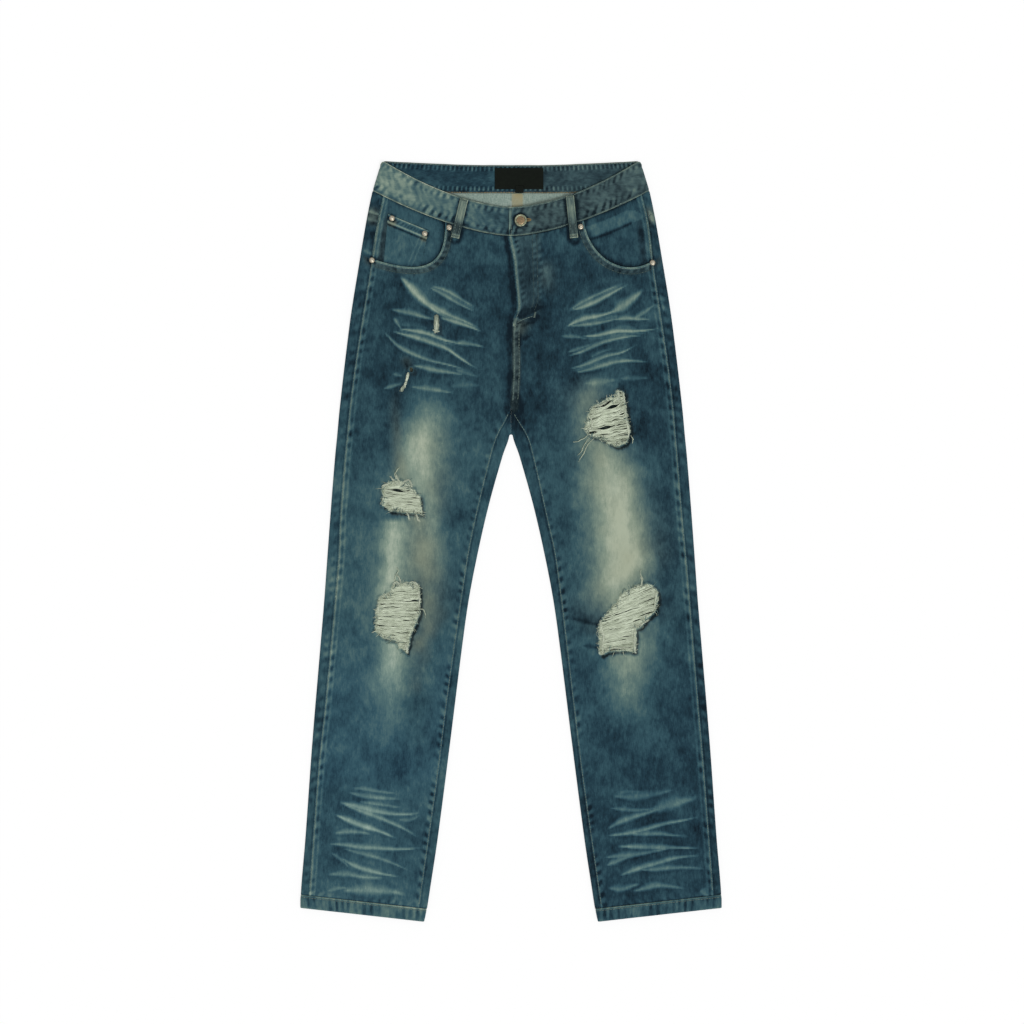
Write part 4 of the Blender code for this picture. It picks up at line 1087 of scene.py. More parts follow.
def tubes(name, lines, radii, material, count, tone):  # many round threads in one mesh
    lines = np.asarray(lines, float)
    many, steps = lines.shape[:2]
    ahead = unit(np.gradient(lines, axis=1), 1e-12)
    acrossWay = unit(np.cross(ahead, (0.0, 0.0, 1.0)), 1e-12)
    upWay = np.cross(acrossWay, ahead)
    radii = np.broadcast_to(np.asarray(radii, float), (many, steps))
    turn = 2 * math.pi * np.arange(count) / count
    ring = np.cos(turn)[:, None] * acrossWay[..., None, :] + np.sin(turn)[:, None] * upWay[..., None, :]
    spots = (lines[..., None, :] + radii[..., None, None] * ring).reshape(-1, 3)
    at = np.arange(many * steps * count).reshape(many, steps, count)
    after = np.roll(at, -1, axis=2)
    walls = np.stack([at[:, :-1], at[:, 1:], after[:, 1:], after[:, :-1]], axis=-1).reshape(-1, 4)
    faces = walls.tolist() + at[:, 0].tolist() + at[:, -1, ::-1].tolist()
    tone = np.broadcast_to(np.asarray(tone, np.float32).reshape(many, -1), (many, steps))
    return newPiece(name, spots.tolist(), faces, material, {"tone": np.repeat(tone.reshape(-1), count)})


# shading

def colour(red, green, blue, alpha=1.0):  # screen values from 0 to 255 as linear light
    parts = [c / 255 for c in (red, green, blue)]
    return tuple(c / 12.92 if c < 0.04045 else ((c + 0.055) / 1.055) ** 2.4 for c in parts) + (alpha,)


def setInputs(tree, node, values):
    for key, value in values.items():
        if isinstance(value, bpy.types.NodeSocket):
            tree.links.new(value, node.inputs[key])
        else:
            node.inputs[key].default_value = value


def addNode(tree, kind, values=None, **settings):
    node = tree.nodes.new(kind)
    for key, value in settings.items():
        setattr(node, key, value)
    setInputs(tree, node, values or {})
    return node


def mathNode(tree, operation, a, b):
    return addNode(tree, "ShaderNodeMath", {0: a, 1: b}, operation=operation).outputs[0]


def plus(tree, a, b):
    return mathNode(tree, "ADD", a, b)


def times(tree, a, b):
    return mathNode(tree, "MULTIPLY", a, b)


def mixNode(tree, amount, a, b, blend="MIX"):
    values = {0: amount, 6: a, 7: b}
    return addNode(tree, "ShaderNodeMix", values, data_type="RGBA", blend_type=blend).outputs[2]


def placeNode(tree):
    return addNode(tree, "ShaderNodeTexCoord").outputs["Object"]


def noiseNode(tree, place, scale, detail=2.0, roughness=0.5):
    values = {"Vector": place, "Scale": scale, "Detail": detail, "Roughness": roughness}
    return addNode(tree, "ShaderNodeTexNoise", values).outputs[0]


def waveNode(tree, values, **settings):
    return addNode(tree, "ShaderNodeTexWave", values, **settings).outputs["Fac"]


def bumpNode(tree, height, strength, depth):
    values = {"Height": height, "Strength": strength, "Distance": depth}
    return addNode(tree, "ShaderNodeBump", values).outputs[0]


def attributeNode(tree, name):
    return addNode(tree, "ShaderNodeAttribute", attribute_name=name).outputs["Fac"]


def centred(tree, value, strength):
    return times(tree, mathNode(tree, "SUBTRACT", value, 0.5), strength)


def rampNode(tree, value, stops):
    node = addNode(tree, "ShaderNodeValToRGB", {0: value})
    ramp = node.color_ramp
    while len(ramp.elements) < len(stops):
        ramp.elements.new(0.5)
    for element, (place, tone) in zip(ramp.elements, stops):
        element.position = place
        element.color = colour(*tone)
    return node.outputs[0]


def newGroup(name, inputs, outputs):
    group = bpy.data.node_groups.new(name, "ShaderNodeTree")
    for way, labels in (("INPUT", inputs), ("OUTPUT", outputs)):
        for label, kind in labels.items():
            group.interface.new_socket(label, in_out=way, socket_type="NodeSocket" + kind)
    return group, addNode(group, "NodeGroupInput").outputs, addNode(group, "NodeGroupOutput")


dye = {  # what the denim looks like from unworn to bleached, and its wrong side
    "ramp": [
        (0.00, (12, 27, 36)),
        (0.20, (31, 56, 67)),
        (0.40, (52, 83, 92)),
        (0.60, (84, 110, 108)),
        (0.80, (125, 144, 131)),
        (1.00, (174, 185, 166)),
    ],
    "cool": (0.84, 1.0, 1.17, 1.0),
    "warmDark": (22, 33, 30),
    "warmLight": (150, 156, 132),
    "wrongDark": (98, 119, 113),
    "wrongLight": (147, 163, 153),
    "wrongStain": (150, 142, 108),
}
weave = {  # scale along x, y and z and strength of each noise
    "warp": (760.0, 150.0, 200.0, 0.27),
    "mottle": (240.0, 110.0, 150.0, 0.32),
    "grain": (560.0, 560.0, 560.0, 0.16),
    "cloud": (95.0, 62.0, 80.0, 0.30),
    "drift": (34.0, 24.0, 30.0, 0.34),
    "twill": 350.0,
    "twillStrength": 0.04,
}


def buildDenimGroup():
    inputs = {"Place": "Vector", "Wear": "Float", "Warm": "Float", "Wrong": "Float"}
    outputs = {"Color": "Color", "Height": "Float", "Roughness": "Float"}
    group, given, out = newGroup("denimCloth", inputs, outputs)
    place, found = given["Place"], {}
    grainy = mathNode(group, "SUBTRACT", 1.12, times(group, given["Wear"], 0.62))
    worn = 0.0
    for key in ("warp", "mottle", "grain", "cloud", "drift"):
        *scale, strength = weave[key]
        values = {0: place, 1: scale}
        stretched = addNode(group, "ShaderNodeVectorMath", values, operation="MULTIPLY").outputs[0]
        found[key] = noiseNode(group, stretched, 1.0, 3.0)
        worn = plus(group, centred(group, found[key], strength), worn)
    worn = plus(group, times(group, worn, grainy), given["Wear"])
    warp, grain = found["warp"], found["grain"]
    values = {"Vector": place, "Scale": weave["twill"], "Distortion": 0.6}
    twill = waveNode(group, values, wave_type="BANDS", bands_direction="DIAGONAL")
    worn = plus(group, worn, centred(group, twill, weave["twillStrength"]))
    face = rampNode(group, worn, dye["ramp"])
    stain = mixNode(group, worn, colour(*dye["warmDark"]), colour(*dye["warmLight"]))
    cool = mathNode(group, "MAXIMUM", times(group, given["Warm"], -1.0), 0.0)
    face = mixNode(group, cool, face, mixNode(group, 1.0, face, dye["cool"], "MULTIPLY"))
    warm = mathNode(group, "MAXIMUM", given["Warm"], 0.0)
    face = mixNode(group, times(group, warm, 0.75), face, stain)
    pale = plus(group, plus(group, centred(group, warp, 1.3), centred(group, grain, 1.6)), 0.6)
    wrong = mixNode(group, pale, colour(*dye["wrongDark"]), colour(*dye["wrongLight"]))
    wrong = mixNode(group, warm, wrong, colour(*dye["wrongStain"]))
    setInputs(group, out, {
        "Color": mixNode(group, given["Wrong"], face, wrong),
        "Height": plus(group, plus(group, times(group, twill, 0.6), warp), grain),
        "Roughness": plus(group, times(group, grain, 0.2), 0.75),
    })
    return group


def newMaterial(name):
    made = bpy.data.materials.new(name)
    made.use_nodes = True
    return made, made.node_tree, made.node_tree.nodes["Principled BSDF"]


def denimMaterial(name, group, turn=0.0):  # turn is the warp's direction round the upright axis
    made, tree, shader = newMaterial(name)
    place = placeNode(tree)
    if turn:
        values = {"Vector": place, "Angle": turn}
        place = addNode(tree, "ShaderNodeVectorRotate", values, rotation_type="Z_AXIS").outputs[0]
    values = {key.title(): attributeNode(tree, key) for key in ("wear", "warm", "wrong")}
    body = addNode(tree, "ShaderNodeGroup", node_tree=group)
    setInputs(tree, body, {"Place": place, **values})
    setInputs(tree, shader, {
        "Base Color": body.outputs["Color"],
        "Roughness": body.outputs["Roughness"],
        "Normal": bumpNode(tree, body.outputs["Height"], 0.35, 0.0003),
        "Specular IOR Level": 0.07,
    })
    return made


def threadMaterial(name, dark, light, scale=1500.0, speckle=0.9):
    made, tree, shader = newMaterial(name)
    ply = noiseNode(tree, placeNode(tree), scale)
    amount = plus(tree, attributeNode(tree, "tone"), centred(tree, ply, speckle))
    setInputs(tree, shader, {
        "Base Color": mixNode(tree, amount, colour(*dark), colour(*light)),
        "Roughness": 0.8,
        "Normal": bumpNode(tree, ply, 0.5, 0.0002),
        "Specular IOR Level": 0.12,
    })
    return made


def buildAgeGroup():
    inputs = {"Bright": "Color", "Tarnish": "Color", "Amount": "Float"}
    outputs = {"Color": "Color", "Roughness": "Float", "Height": "Float"}
    group, given, out = newGroup("agedMetal", inputs, outputs)
    place = placeNode(group)
    blotch, fine = noiseNode(group, place, 700.0, 4.0, 0.65), noiseNode(group, place, 3500.0)
    mask = plus(group, centred(group, blotch, 4.0), given["Amount"])
    mask = addNode(group, "ShaderNodeClamp", {"Value": mask}).outputs[0]
    setInputs(group, out, {
        "Color": mixNode(group, mask, given["Bright"], given["Tarnish"]),
        "Roughness": plus(group, times(group, mask, 0.25), 0.33),
        "Height": plus(group, blotch, times(group, fine, 0.4)),
    })
    return group


def metalMaterial(name, group, bright, rim, tarnish, amount):
    made, tree, shader = newMaterial(name)
    body = addNode(tree, "ShaderNodeGroup", node_tree=group)
    tint = mixNode(tree, attributeNode(tree, "rim"), colour(*bright), colour(*rim))
    setInputs(tree, body, {"Bright": tint, "Tarnish": colour(*tarnish), "Amount": amount})
    setInputs(tree, shader, {
        "Base Color": body.outputs["Color"],
        "Roughness": body.outputs["Roughness"],
        "Normal": bumpNode(tree, body.outputs["Height"], 0.3, 0.0002),
        "Metallic": 1.0,
    })
    return made


def tapeMaterial(name):  # close woven black tape
    made, tree, shader = newMaterial(name)
    place = placeNode(tree)
    values = {"Vector": place, "Scale": 420.0}
    grid = times(tree, *(waveNode(tree, values, bands_direction=way) for way in "XY"))
    amount = plus(tree, times(tree, grid, 0.5), noiseNode(tree, place, 250.0))
    setInputs(tree, shader, {
        "Base Color": mixNode(tree, times(tree, amount, 0.6), colour(4, 6, 5), colour(19, 26, 18)),
        "Roughness": 0.8,
        "Normal": bumpNode(tree, grid, 0.5, 0.0002),
        "Specular IOR Level": 0.1,
    })
    return made


denimGroup, ageGroup = buildDenimGroup(), buildAgeGroup()
denim = denimMaterial("denimLengthwise", denimGroup)
denimAcross = denimMaterial("denimCrosswise", denimGroup, math.radians(90))
loopDenim = denimMaterial("denimLoop", denimGroup)
paleThread = threadMaterial("paleThread", (48, 66, 66), (124, 142, 134))
tanThread = threadMaterial("tanThread", (74, 62, 44), (150, 130, 94))
rawYarn = threadMaterial("rawYarn", (116, 128, 102), (216, 225, 204), 900.0, 0.5)
whiteYarn = threadMaterial("whiteYarn", (106, 120, 104), (224, 231, 210), 900.0, 0.5)
indigoYarn = threadMaterial("indigoYarn", (18, 38, 44), (118, 150, 146))
blackTape = tapeMaterial("blackTape")
agedCopper = metalMaterial("agedCopper", ageGroup, (140, 118, 92), (150, 156, 132), (78, 74, 58), 0.42)
rivetMetal = metalMaterial("rivetMetal", ageGroup, (188, 182, 164), (128, 122, 106), (112, 104, 92), 0.30)
print("materials made")


# the panels

def planLoop(parts, side):  # stretches of (across, y) joined into a closed outline
    points = np.vstack(parts)
    apart = np.linalg.norm(points - np.roll(points, 1, axis=0), axis=1) > 2e-5
    points = points[apart] * (side, 1)
    return points if side > 0 else points[::-1]


seamGap = 0.00008
wall = cloth["denim"]


def flapSurface(x, y):  # the part of the back that comes round to the front
    side = np.where(np.mean(x) < 0, -1, 1)
    return frontSurface(x, y, "left" if side > 0 else "right") - (flyRise(x, y) if side > 0 else 0)


backCreases = [  # troughs on the underside in millimetres: three points, width, height
    ((40, 170), (100, 150), (170, 158), 9, 0.8),
    ((30, 196), (90, 186), (150, 196), 8, 0.6),
    ((90, -60), (150, -70), (215, -58), 9, 0.8),
    ((85, -96), (150, -104), (225, -92), 8, 0.7),
    ((100, -130), (160, -128), (210, -140), 9, 0.6),
    ((120, -400), (190, -410), (260, -396), 9, 0.6),
    ((120, -455), (190, -446), (262, -458), 8, 0.6),
]


def backRelief(x, y):
    return creaseRise(np.abs(x), y, backCreases, 0.03)


def underSurface(x, y):
    return backLift(x, y) + backRelief(x, y)


def backSeams():
    lines = []
    for side in sides.values():
        xs = np.linspace(0, yokeFold[2][0], 30)
        lines += [(columns(side * xs, yokeSeam(xs)), 0.012, 0.9), (pocketOutline(side), 0.012, 0.6)]
    ys = np.arange(0.49, shape["split"], -0.012)
    return lines + [(columns(0, ys), 0.012, 0.9), (bandLine(backSeam, -0.19, 0.19), 0.011, 0.7)]


def pocketOutline(side, inset=0.0):
    p = backPocket
    half, tall = p["width"] / 2 - inset, p["height"] / 2 - inset
    corners = [
        (-half, tall), (half, tall), (half - p["taper"], -tall),
        (0, -tall - p["point"]), (-half + p["taper"], -tall), (-half, tall),
    ]
    line = divided(corners, 0.003)
    turned = columns(
        line[:, 0] * math.cos(p["turn"]) - line[:, 1] * math.sin(p["turn"]) + p["across"],
        line[:, 0] * math.sin(p["turn"]) + line[:, 1] * math.cos(p["turn"]) + p["y"],
    )
    return turned * (side, 1)


def backPaint(x, y):
    wear = 0.30 + 0.05 * softNoise(x, y, 0.05, 41) + 0.04 * softNoise(x, y, 0.015, 42)
    away = np.hypot((np.abs(x) - 0.14) / 0.07, (y - 0.05) / 0.16)
    wear += 0.26 * np.exp(-(away**2))  # the back of the thigh
    away = np.hypot((np.abs(x) - 0.17) / 0.06, (y + 0.25) / 0.14)
    wear += 0.18 * np.exp(-(away**2))
    crease = backRelief(x, y) / 0.0008
    wear = wear + 0.30 * crease * (1 + 0.4 * softNoise(x, y, 0.012, 43))
    for i, (line, pitch, strength) in enumerate(backSeams()):
        away, run = alongLine(x, y, line, 0.012)[:2]
        near = np.abs(away) < 0.012
        wave = ropes(away[near], run[near], 0.0040, 0.0032, pitch, 60 + i, 1.0)
        wear[near] += strength * (0.14 * wave - 0.12 * bell(away[near], 0.001))
    return np.clip(wear, 0, 1), np.zeros(x.shape)


def wholePaint(name):  # paints a piece that goes round the fold
    def paint(x, y, z):
        front = smooth((z - 0.0022) / 0.0020)
        wearFront, warmFront = frontPaint(x, y, name)
        wearBack, warmBack = backPaint(x, y)
        return wearBack + (wearFront - wearBack) * front, warmBack + (warmFront - warmBack) * front
    return paint


def lowered(height, depth):
    return lambda x, y: height(x, y) - depth


def raised(height, depth):
    return lambda x, y: height(x, y) + depth


def foldRings(folds, side, lastLine=None):  # rings down a fold, the last one along a given line
    bases = np.array([fold[2] for fold in folds])
    highs = flapSurface(side * bases[:, 0], bases[:, 1])
    lows = underSurface(side * bases[:, 0], bases[:, 1])
    lines = [None] * (len(folds) - 1) + [lastLine]
    return [foldRing(fold, side, wall, *facts) for fold, *facts in zip(folds, lines, highs, lows)]


def buildFront(name, side):
    fine, gap = cloth["fine"], seamGap
    edge = gap if name == "right" else 0.0
    start = mouths[name][0][0]
    xs = between(side * float(flyEdge(shape["seamMiddle"])) + edge, start, fine)
    waist = columns(xs, frontSeam(side * xs) - gap)
    mouth = resampled(mouths[name], fine)
    mouth[0] = waist[-1]
    mouth[-1, 0] = outseam[name](mouth[-1, 1]) - gap
    footOuter, footInner = meeting(outseam[name], hemLine), meeting(inseam[name], hemLine)
    ys = between(mouth[-1, 1], footOuter, fine)
    down = columns(outseam[name](ys) - gap, ys)
    xs = between(down[-1, 0], inseam[name](footInner) + gap, fine)
    foot = columns(xs, hemLine(xs))
    ys = between(footInner, shape["crotch"], fine)
    up = columns(inseam[name](ys) + gap, ys)
    ys = between(shape["crotch"] + gap, waist[0, 1], fine)
    middle = columns(side * flyEdge(ys) + edge, ys)
    outline = planLoop([waist, mouth, down, foot, up, middle], side)
    piece = newCloth()
    holes = [ripEdges[rip] for rip in ripSides[name]]

    def outer(x, y):
        return frontSurface(x, y, name)

    fillCloth(piece, [outline] + holes, outer, lowered(outer, wall + 0.0002), fine, cloth["inside"])

    def paint(x, y, z):
        return frontPaint(x, y, name)

    return finishCloth(piece, "denim_front_" + name, denim, paint)


def buildBack(name, side):
    fine, plain, gap = cloth["fine"], cloth["plain"], seamGap
    middle = gap if name == "right" else 0.00003 - gap
    footOuter, footInner = meeting(outerEdge, hemLine), meeting(innerEdge, hemLine)
    outer = [outerFold(y) for y in between(shape["yokeSide"] - gap, footOuter, plain)]
    arc = []
    for turn in np.linspace(0, shape["splitTurn"], 6):
        way = np.array((-math.sin(turn), -math.cos(turn)))
        edge = np.array((0, shape["split"] - shape["splitRadius"])) - way * shape["splitRadius"]
        arc.append((edge, way, edge - way * float(foldLevel(shape["split"])) / 2))
    inner = arc + [innerFold(y) for y in between(arc[-1][0][1] - 0.004, footInner, plain)]
    xs = between(outer[-1][2][0], inner[-1][2][0], plain)
    foot = columns(xs, hemLine(xs))
    inner[0] = (inner[0][0], inner[0][1], np.array((middle, inner[0][2][1])))
    outer[-1] = (outer[-1][0], outer[-1][1], foot[0])
    inner[-1] = (inner[-1][0], inner[-1][1], foot[-1])
    outerBase, innerBase = np.array([f[2] for f in outer]), np.array([f[2] for f in inner])
    xs = between(middle, outerBase[0, 0], plain)
    yoke = columns(xs, yokeSeam(xs) - gap)
    ys = between(innerBase[0, 1], yoke[0, 1], plain)
    seat = columns(middle, ys)
    piece = newCloth()
    outline = planLoop([outerBase, foot, innerBase[::-1], seat, yoke], side)
    fillCloth(piece, [outline], underSurface, raised(underSurface, wall), 2 * plain, cloth["inside"])
    for folds in (outer, inner):
        bridgeCloth(piece, foldRings(folds, side, hemLine))
    foot = meeting(outseam[name], hemLine)
    ys = between(foot, outerBase[0, 1] - shape["yokeDrop"], fine)
    flap = planLoop([outerBase, columns(outseam[name](ys), ys)], side)
    fillCloth(piece, [flap], flapSurface, lowered(flapSurface, wall), fine, cloth["inside"])
    foot = meeting(inseam[name], hemLine)
    ys = between(foot, shape["crotch"] - 0.0005, fine)
    tongue = [innerBase, columns(np.maximum(inseam[name](ys), middle), ys)]
    fillCloth(piece, [planLoop(tongue, side)], flapSurface, lowered(flapSurface, wall), fine, cloth["inside"])
    return finishCloth(piece, "denim_back_" + name, denim, wholePaint(name))


seatSeam = {"low": 0.0014, "high": 0.0165, "rise": 0.0007}  # felled seam inside the yoke


def buildYoke(name, side):
    fine, gap = cloth["fine"], seamGap
    folds = [outerFold(y) for y in between(shape["waistSide"] - gap, shape["yokeSide"] + gap, 0.0030)]
    edge = np.array([f[2] for f in folds])
    xs = between(edge[0, 0], gap, fine)[1:]
    top = columns(xs, backSeam(xs) - gap)
    foot = columns(xs[::-1], yokeSeam(xs[::-1]) + gap)
    ys = between(top[-1, 1], foot[0, 1], fine)[1:-1]
    piece = newCloth()

    def inside(x, y):
        ridge = smooth((x - seatSeam["low"]) / 0.0012) * smooth((seatSeam["high"] - x) / 0.0012)
        return underSurface(x, y) + wall + seatSeam["rise"] * ridge

    outline = planLoop([edge[::-1], top, columns(gap, ys), foot], side)
    fillCloth(piece, [outline], underSurface, inside, fine, fine)
    high, low = outseam[name](edge[0, 1]), outseam[name](edge[-1, 1])
    lowY, highY = edge[-1, 1] - shape["yokeDrop"] + gap, frontSeam(side * high) - gap
    ys = between(lowY, highY, fine)
    down = divided([edge[-1], (low, lowY)], fine)[1:-1]
    flap = [edge, down, columns(outseam[name](ys), ys)]
    xs = between(high, edge[0, 0], fine)[1:-1]
    flap.append(columns(xs, frontSeam(side * xs) - gap))
    fillCloth(piece, [planLoop(flap, side)], flapSurface, lowered(flapSurface, wall), fine, cloth["inside"])
    bridgeCloth(piece, foldRings(folds, side))
    whole = wholePaint(name)

    def paint(x, y, z):
        wear, warm = whole(x, y, z)
        seam = (x > seatSeam["low"]) & (x < seatSeam["high"]) & (z > underSurface(x, y) + 0.0006)
        return wear, np.where(seam, 0.75 + 0.2 * softNoise(x, y, 0.006, 44), warm)

    return finishCloth(piece, "denim_yoke_" + name, denim, paint)


pocket = {
    "facingUnder": 0.012,
    "facingTop": 0.4880,
    "facingFoot": 0.0100,
    "coinTopOuter": (0.1745, 0.4640),
    "coinTopInner": (0.1170, 0.4400),
    "coinFootInner": 0.1270,
    "coinFootOuter": 0.1815,
    "coinBand": 0.0115,
    "dip": 0.0012,
}


def facingCrease(x, y):  # distance from the sagging crease across the left facing
    return alongLine(x, y, bowed((0.110, 0.427), (0.135, 0.4345), (0.170, 0.450)), 0.02)[0]


def facingSurface(x, y):
    name = "left" if np.mean(x) > 0 else "right"
    away = alongLine(np.abs(x), y, mouths[name], 0.02)[0]
    sink = pocket["dip"] * bell(away, 0.008)
    relief = 0.0003 * softNoise(x, y, 0.03, 51) + 0.0001 * softNoise(x, y, 0.012, 52)
    if name == "left":
        relief = relief - 0.0012 * bell(facingCrease(x, y), 0.0035)
    return frontLevel(x, y) - wall - cloth["gap"] - sink + relief


def facingPaint(name, level):
    def paint(x, y, z):
        wear = level + 0.05 * softNoise(x, y, 0.03, 53) + 0.04 * softNoise(x, y, 0.010, 54)
        away = np.abs(alongLine(np.abs(x), y, mouths[name], 0.02)[0])
        # painted shadow inside the pocket mouth and under the waistband
        wear = wear - 0.26 * bell(away, 0.0048)
        wear -= 0.20 * bell(frontSeam(x) - y, 0.0030)
        edge = outseam[name](y) - np.abs(x)
        wear += 0.42 * bell(edge - 0.0018, 0.0017)
        wear += 0.26 * bell(edge - 0.0074, 0.0012)
        # painted shadow beside the outseam's felled edge, with an olive tint on the right facing
        strip = bell(edge - 0.0128, 0.0052) * smooth((0.474 - y) / 0.03)
        wear -= 0.24 * strip * (1 + 0.5 * softNoise(x, y, 0.009, 58))
        # painted shadow round the loops, rivets and the button
        wear -= 0.30 * fittingShadow(x, y)
        if name == "left":
            crease = facingCrease(x, y)
            # painted shade along the crease, and lighter cloth just beyond it on one side
            wear -= 0.34 * bell(crease - 0.001, 0.0016)
            wear += 0.16 * smooth((crease - 0.002) / 0.004) * (np.abs(crease) < 0.02)
        return np.clip(wear, 0, 1), (0.28 if name == "right" else 0.08) * strip
    return paint


def buildFacing(name, side):
    fine, gap = cloth["fine"], seamGap
    under = resampled(mouthLine(name, pocket["facingUnder"]), fine)
    topOuter = float(outseam[name](pocket["facingTop"])) - gap
    xs = between(topOuter, under[0, 0], fine)
    top = columns(xs, frontSeam(side * xs) - gap)
    ys = between(top[0, 1], under[-1, 1] - pocket["facingFoot"], fine)
    down = columns(outseam[name](ys) - gap, ys)
    clear = (under[:, 1] < top[-1, 1] - fine) & (under[:, 0] < outseam[name](under[:, 1]) - fine)
    outline = planLoop([top, under[clear], down[:0:-1]], side)
    piece = newCloth()
    fillCloth(piece, [outline], facingSurface, lowered(facingSurface, cloth["thinWall"]), fine, fine)
    level = 0.36 if name == "right" else 0.27
    return finishCloth(piece, "denim_facing_" + name, denim, facingPaint(name, level))


def coinAway(x, y):  # distance below the coin pocket's top edge and the run along it
    outer, inner = np.array(pocket["coinTopOuter"]), np.array(pocket["coinTopInner"])
    way = unit(inner - outer)
    dx, dy = -x - outer[0], y - outer[1]
    return dx * way[1] - dy * way[0], dx * way[0] + dy * way[1]


def coinSurface(x, y):
    below, run = coinAway(x, y)
    below = np.abs(below)
    band = 0.0006 * smooth((pocket["coinBand"] - below) / 0.0010 + 0.5) * smooth(below / 0.0012 + 0.4)
    wave = ropes(below - 0.005, run, 0.0, 0.004, 0.0065, 55)
    return facingSurface(x, y) + cloth["gap"] + cloth["thinWall"] + band + 0.00015 * wave


def coinPaint(x, y, z):
    below, run = coinAway(x, y)
    below = np.abs(below)
    wear = 0.40 + 0.06 * softNoise(x, y, 0.025, 56) + 0.04 * softNoise(x, y, 0.008, 57)
    wear += 0.56 * bell(below, 0.0019)
    wear += 0.50 * bell(below - pocket["coinBand"] + 0.0012, 0.0016)
    # painted shadow below the band's lower edge
    wear -= 0.42 * bell(below - pocket["coinBand"] - 0.0018, 0.0017)
    wear -= 0.05 * smooth((pocket["coinBand"] - below) / 0.001)
    wear += 0.16 * ropes(below - 0.0058, run, 0.0, 0.0030, 0.0050, 55)
    # painted shade along the pocket mouth and painted shadow round the rivets
    away = np.abs(alongLine(np.abs(x), y, mouths["right"], 0.02)[0])
    wear -= 0.22 * bell(away, 0.004) + 0.30 * fittingShadow(x, y)
    sideRun = run - np.linalg.norm(np.subtract(pocket["coinTopOuter"], pocket["coinTopInner"]))
    wear += 0.16 * (bell(sideRun + 0.0030, 0.0008) + bell(sideRun + 0.0085, 0.0008))
    brown = 0.0
    for key in ("coin_outer", "coin_inner"):
        middle = rivet["places"][key]
        away = np.hypot((x - middle[0]) / 0.0065, (y - middle[1] + 0.0065) / 0.0055)
        brown = np.maximum(brown, np.exp(-(away**4)))
    return np.clip(wear, 0, 1), brown + 0 * x


def buildCoinPocket():
    mouth = resampled(mouthLine("right", -0.0006), cloth["fine"])
    foot = mouth[(mouth[:, 0] > pocket["coinFootInner"]) & (mouth[:, 0] < pocket["coinFootOuter"])]
    corners = [foot[-1], pocket["coinTopOuter"], pocket["coinTopInner"], foot[0]]
    outline = planLoop([foot[:-1], divided(corners, cloth["fine"])[:-1]], -1)
    piece = newCloth()
    fillCloth(piece, [outline], coinSurface, lowered(coinSurface, cloth["thinWall"]), 0.0016, cloth["fine"])
    return finishCloth(piece, "denim_coin_pocket", denim, coinPaint)


def buildBackPocket(name, side):
    outline = pocketOutline(side)[:-1]
    piece = newCloth()
    thick = cloth["thinWall"]
    fillCloth(piece, [outline], lambda x, y: 0 * x, lambda x, y: 0 * x + thick, cloth["plain"], cloth["plain"])

    def paint(x, y, z):
        return backPaint(x, y)[0] + 0.04, np.zeros(x.shape)

    return finishCloth(piece, "denim_back_pocket_" + name, denim, paint)


# strips: waistband, hems, loops and tags

def stripCloth(name, outer, inner, wear, material, closed=False, warm=0.0):
    many, wide = outer.shape[:2]  # stations and places across
    at = np.arange(many * wide).reshape(many, wide)
    after = np.roll(at, -1, axis=0) if closed else at[1:]
    first = at if closed else at[:-1]
    shift = many * wide
    quads = [np.stack([first[:, :-1], first[:, 1:], after[:, 1:], after[:, :-1]], axis=-1)]
    quads.append(quads[0][..., ::-1] + shift)
    rims = [(first[:, column], after[:, column]) for column in (0, -1)]
    rims += [] if closed else [(at[row, :-1], at[row, 1:]) for row in (0, -1)]
    quads += [np.stack([a, b, b + shift, a + shift], axis=-1) for a, b in rims]
    faces = np.vstack([q.reshape(-1, 4) for q in quads]).tolist()
    spots = np.vstack([outer.reshape(-1, 3), inner.reshape(-1, 3)])
    layers = {}
    # the wear layer also carries painted shade and shadow
    for key, values in (("wear", wear), ("warm", (warm, warm)), ("wrong", (0, 0))):
        full = [np.broadcast_to(v, (many, wide)).reshape(-1) for v in values]
        layers[key] = np.clip(np.concatenate(full), 0, 1)
    return newPiece(name, spots.tolist(), faces, material, layers, cloth["sharp"])


def acrossSteps(width, spacing, rim=0.0004):  # places across a strip, close together at its edges
    inner = between(4 * rim, width - 4 * rim, spacing)
    return np.concatenate([[0, rim, 2 * rim], inner, [width - 2 * rim, width - rim, width]]) / width


def rounded(away, size):  # how far a folded edge falls away, at a distance from it
    return 1 - np.sqrt(np.clip(1 - (1 - np.clip(away / size, 0, 1)) ** 2, 0, 1))


def ruledFaces(outerEnds, innerEnds, share):  # a strip's two faces, and the way out of the cloth
    outer, inner = (a[:, None] * (1 - share) + b[:, None] * share for a, b in (outerEnds, innerEnds))
    return outer, inner, unit(outer - inner)


band = {
    "width": 0.0410,
    "step": 0.0016,
    "across": 0.0016,
    "rope": 0.0112,
    "ropeDepth": 0.0056,
    "ropeHeight": 0.00026,
    "corner": 0.0090,
    "stitchIn": 0.0022,
    "edgeRound": 0.0012,
    "edgeWear": 0.38,
    "footWear": 0.22,
    "frontWear": {"right": 0.60, "left": 0.25},
    "backWear": 0.19,
}


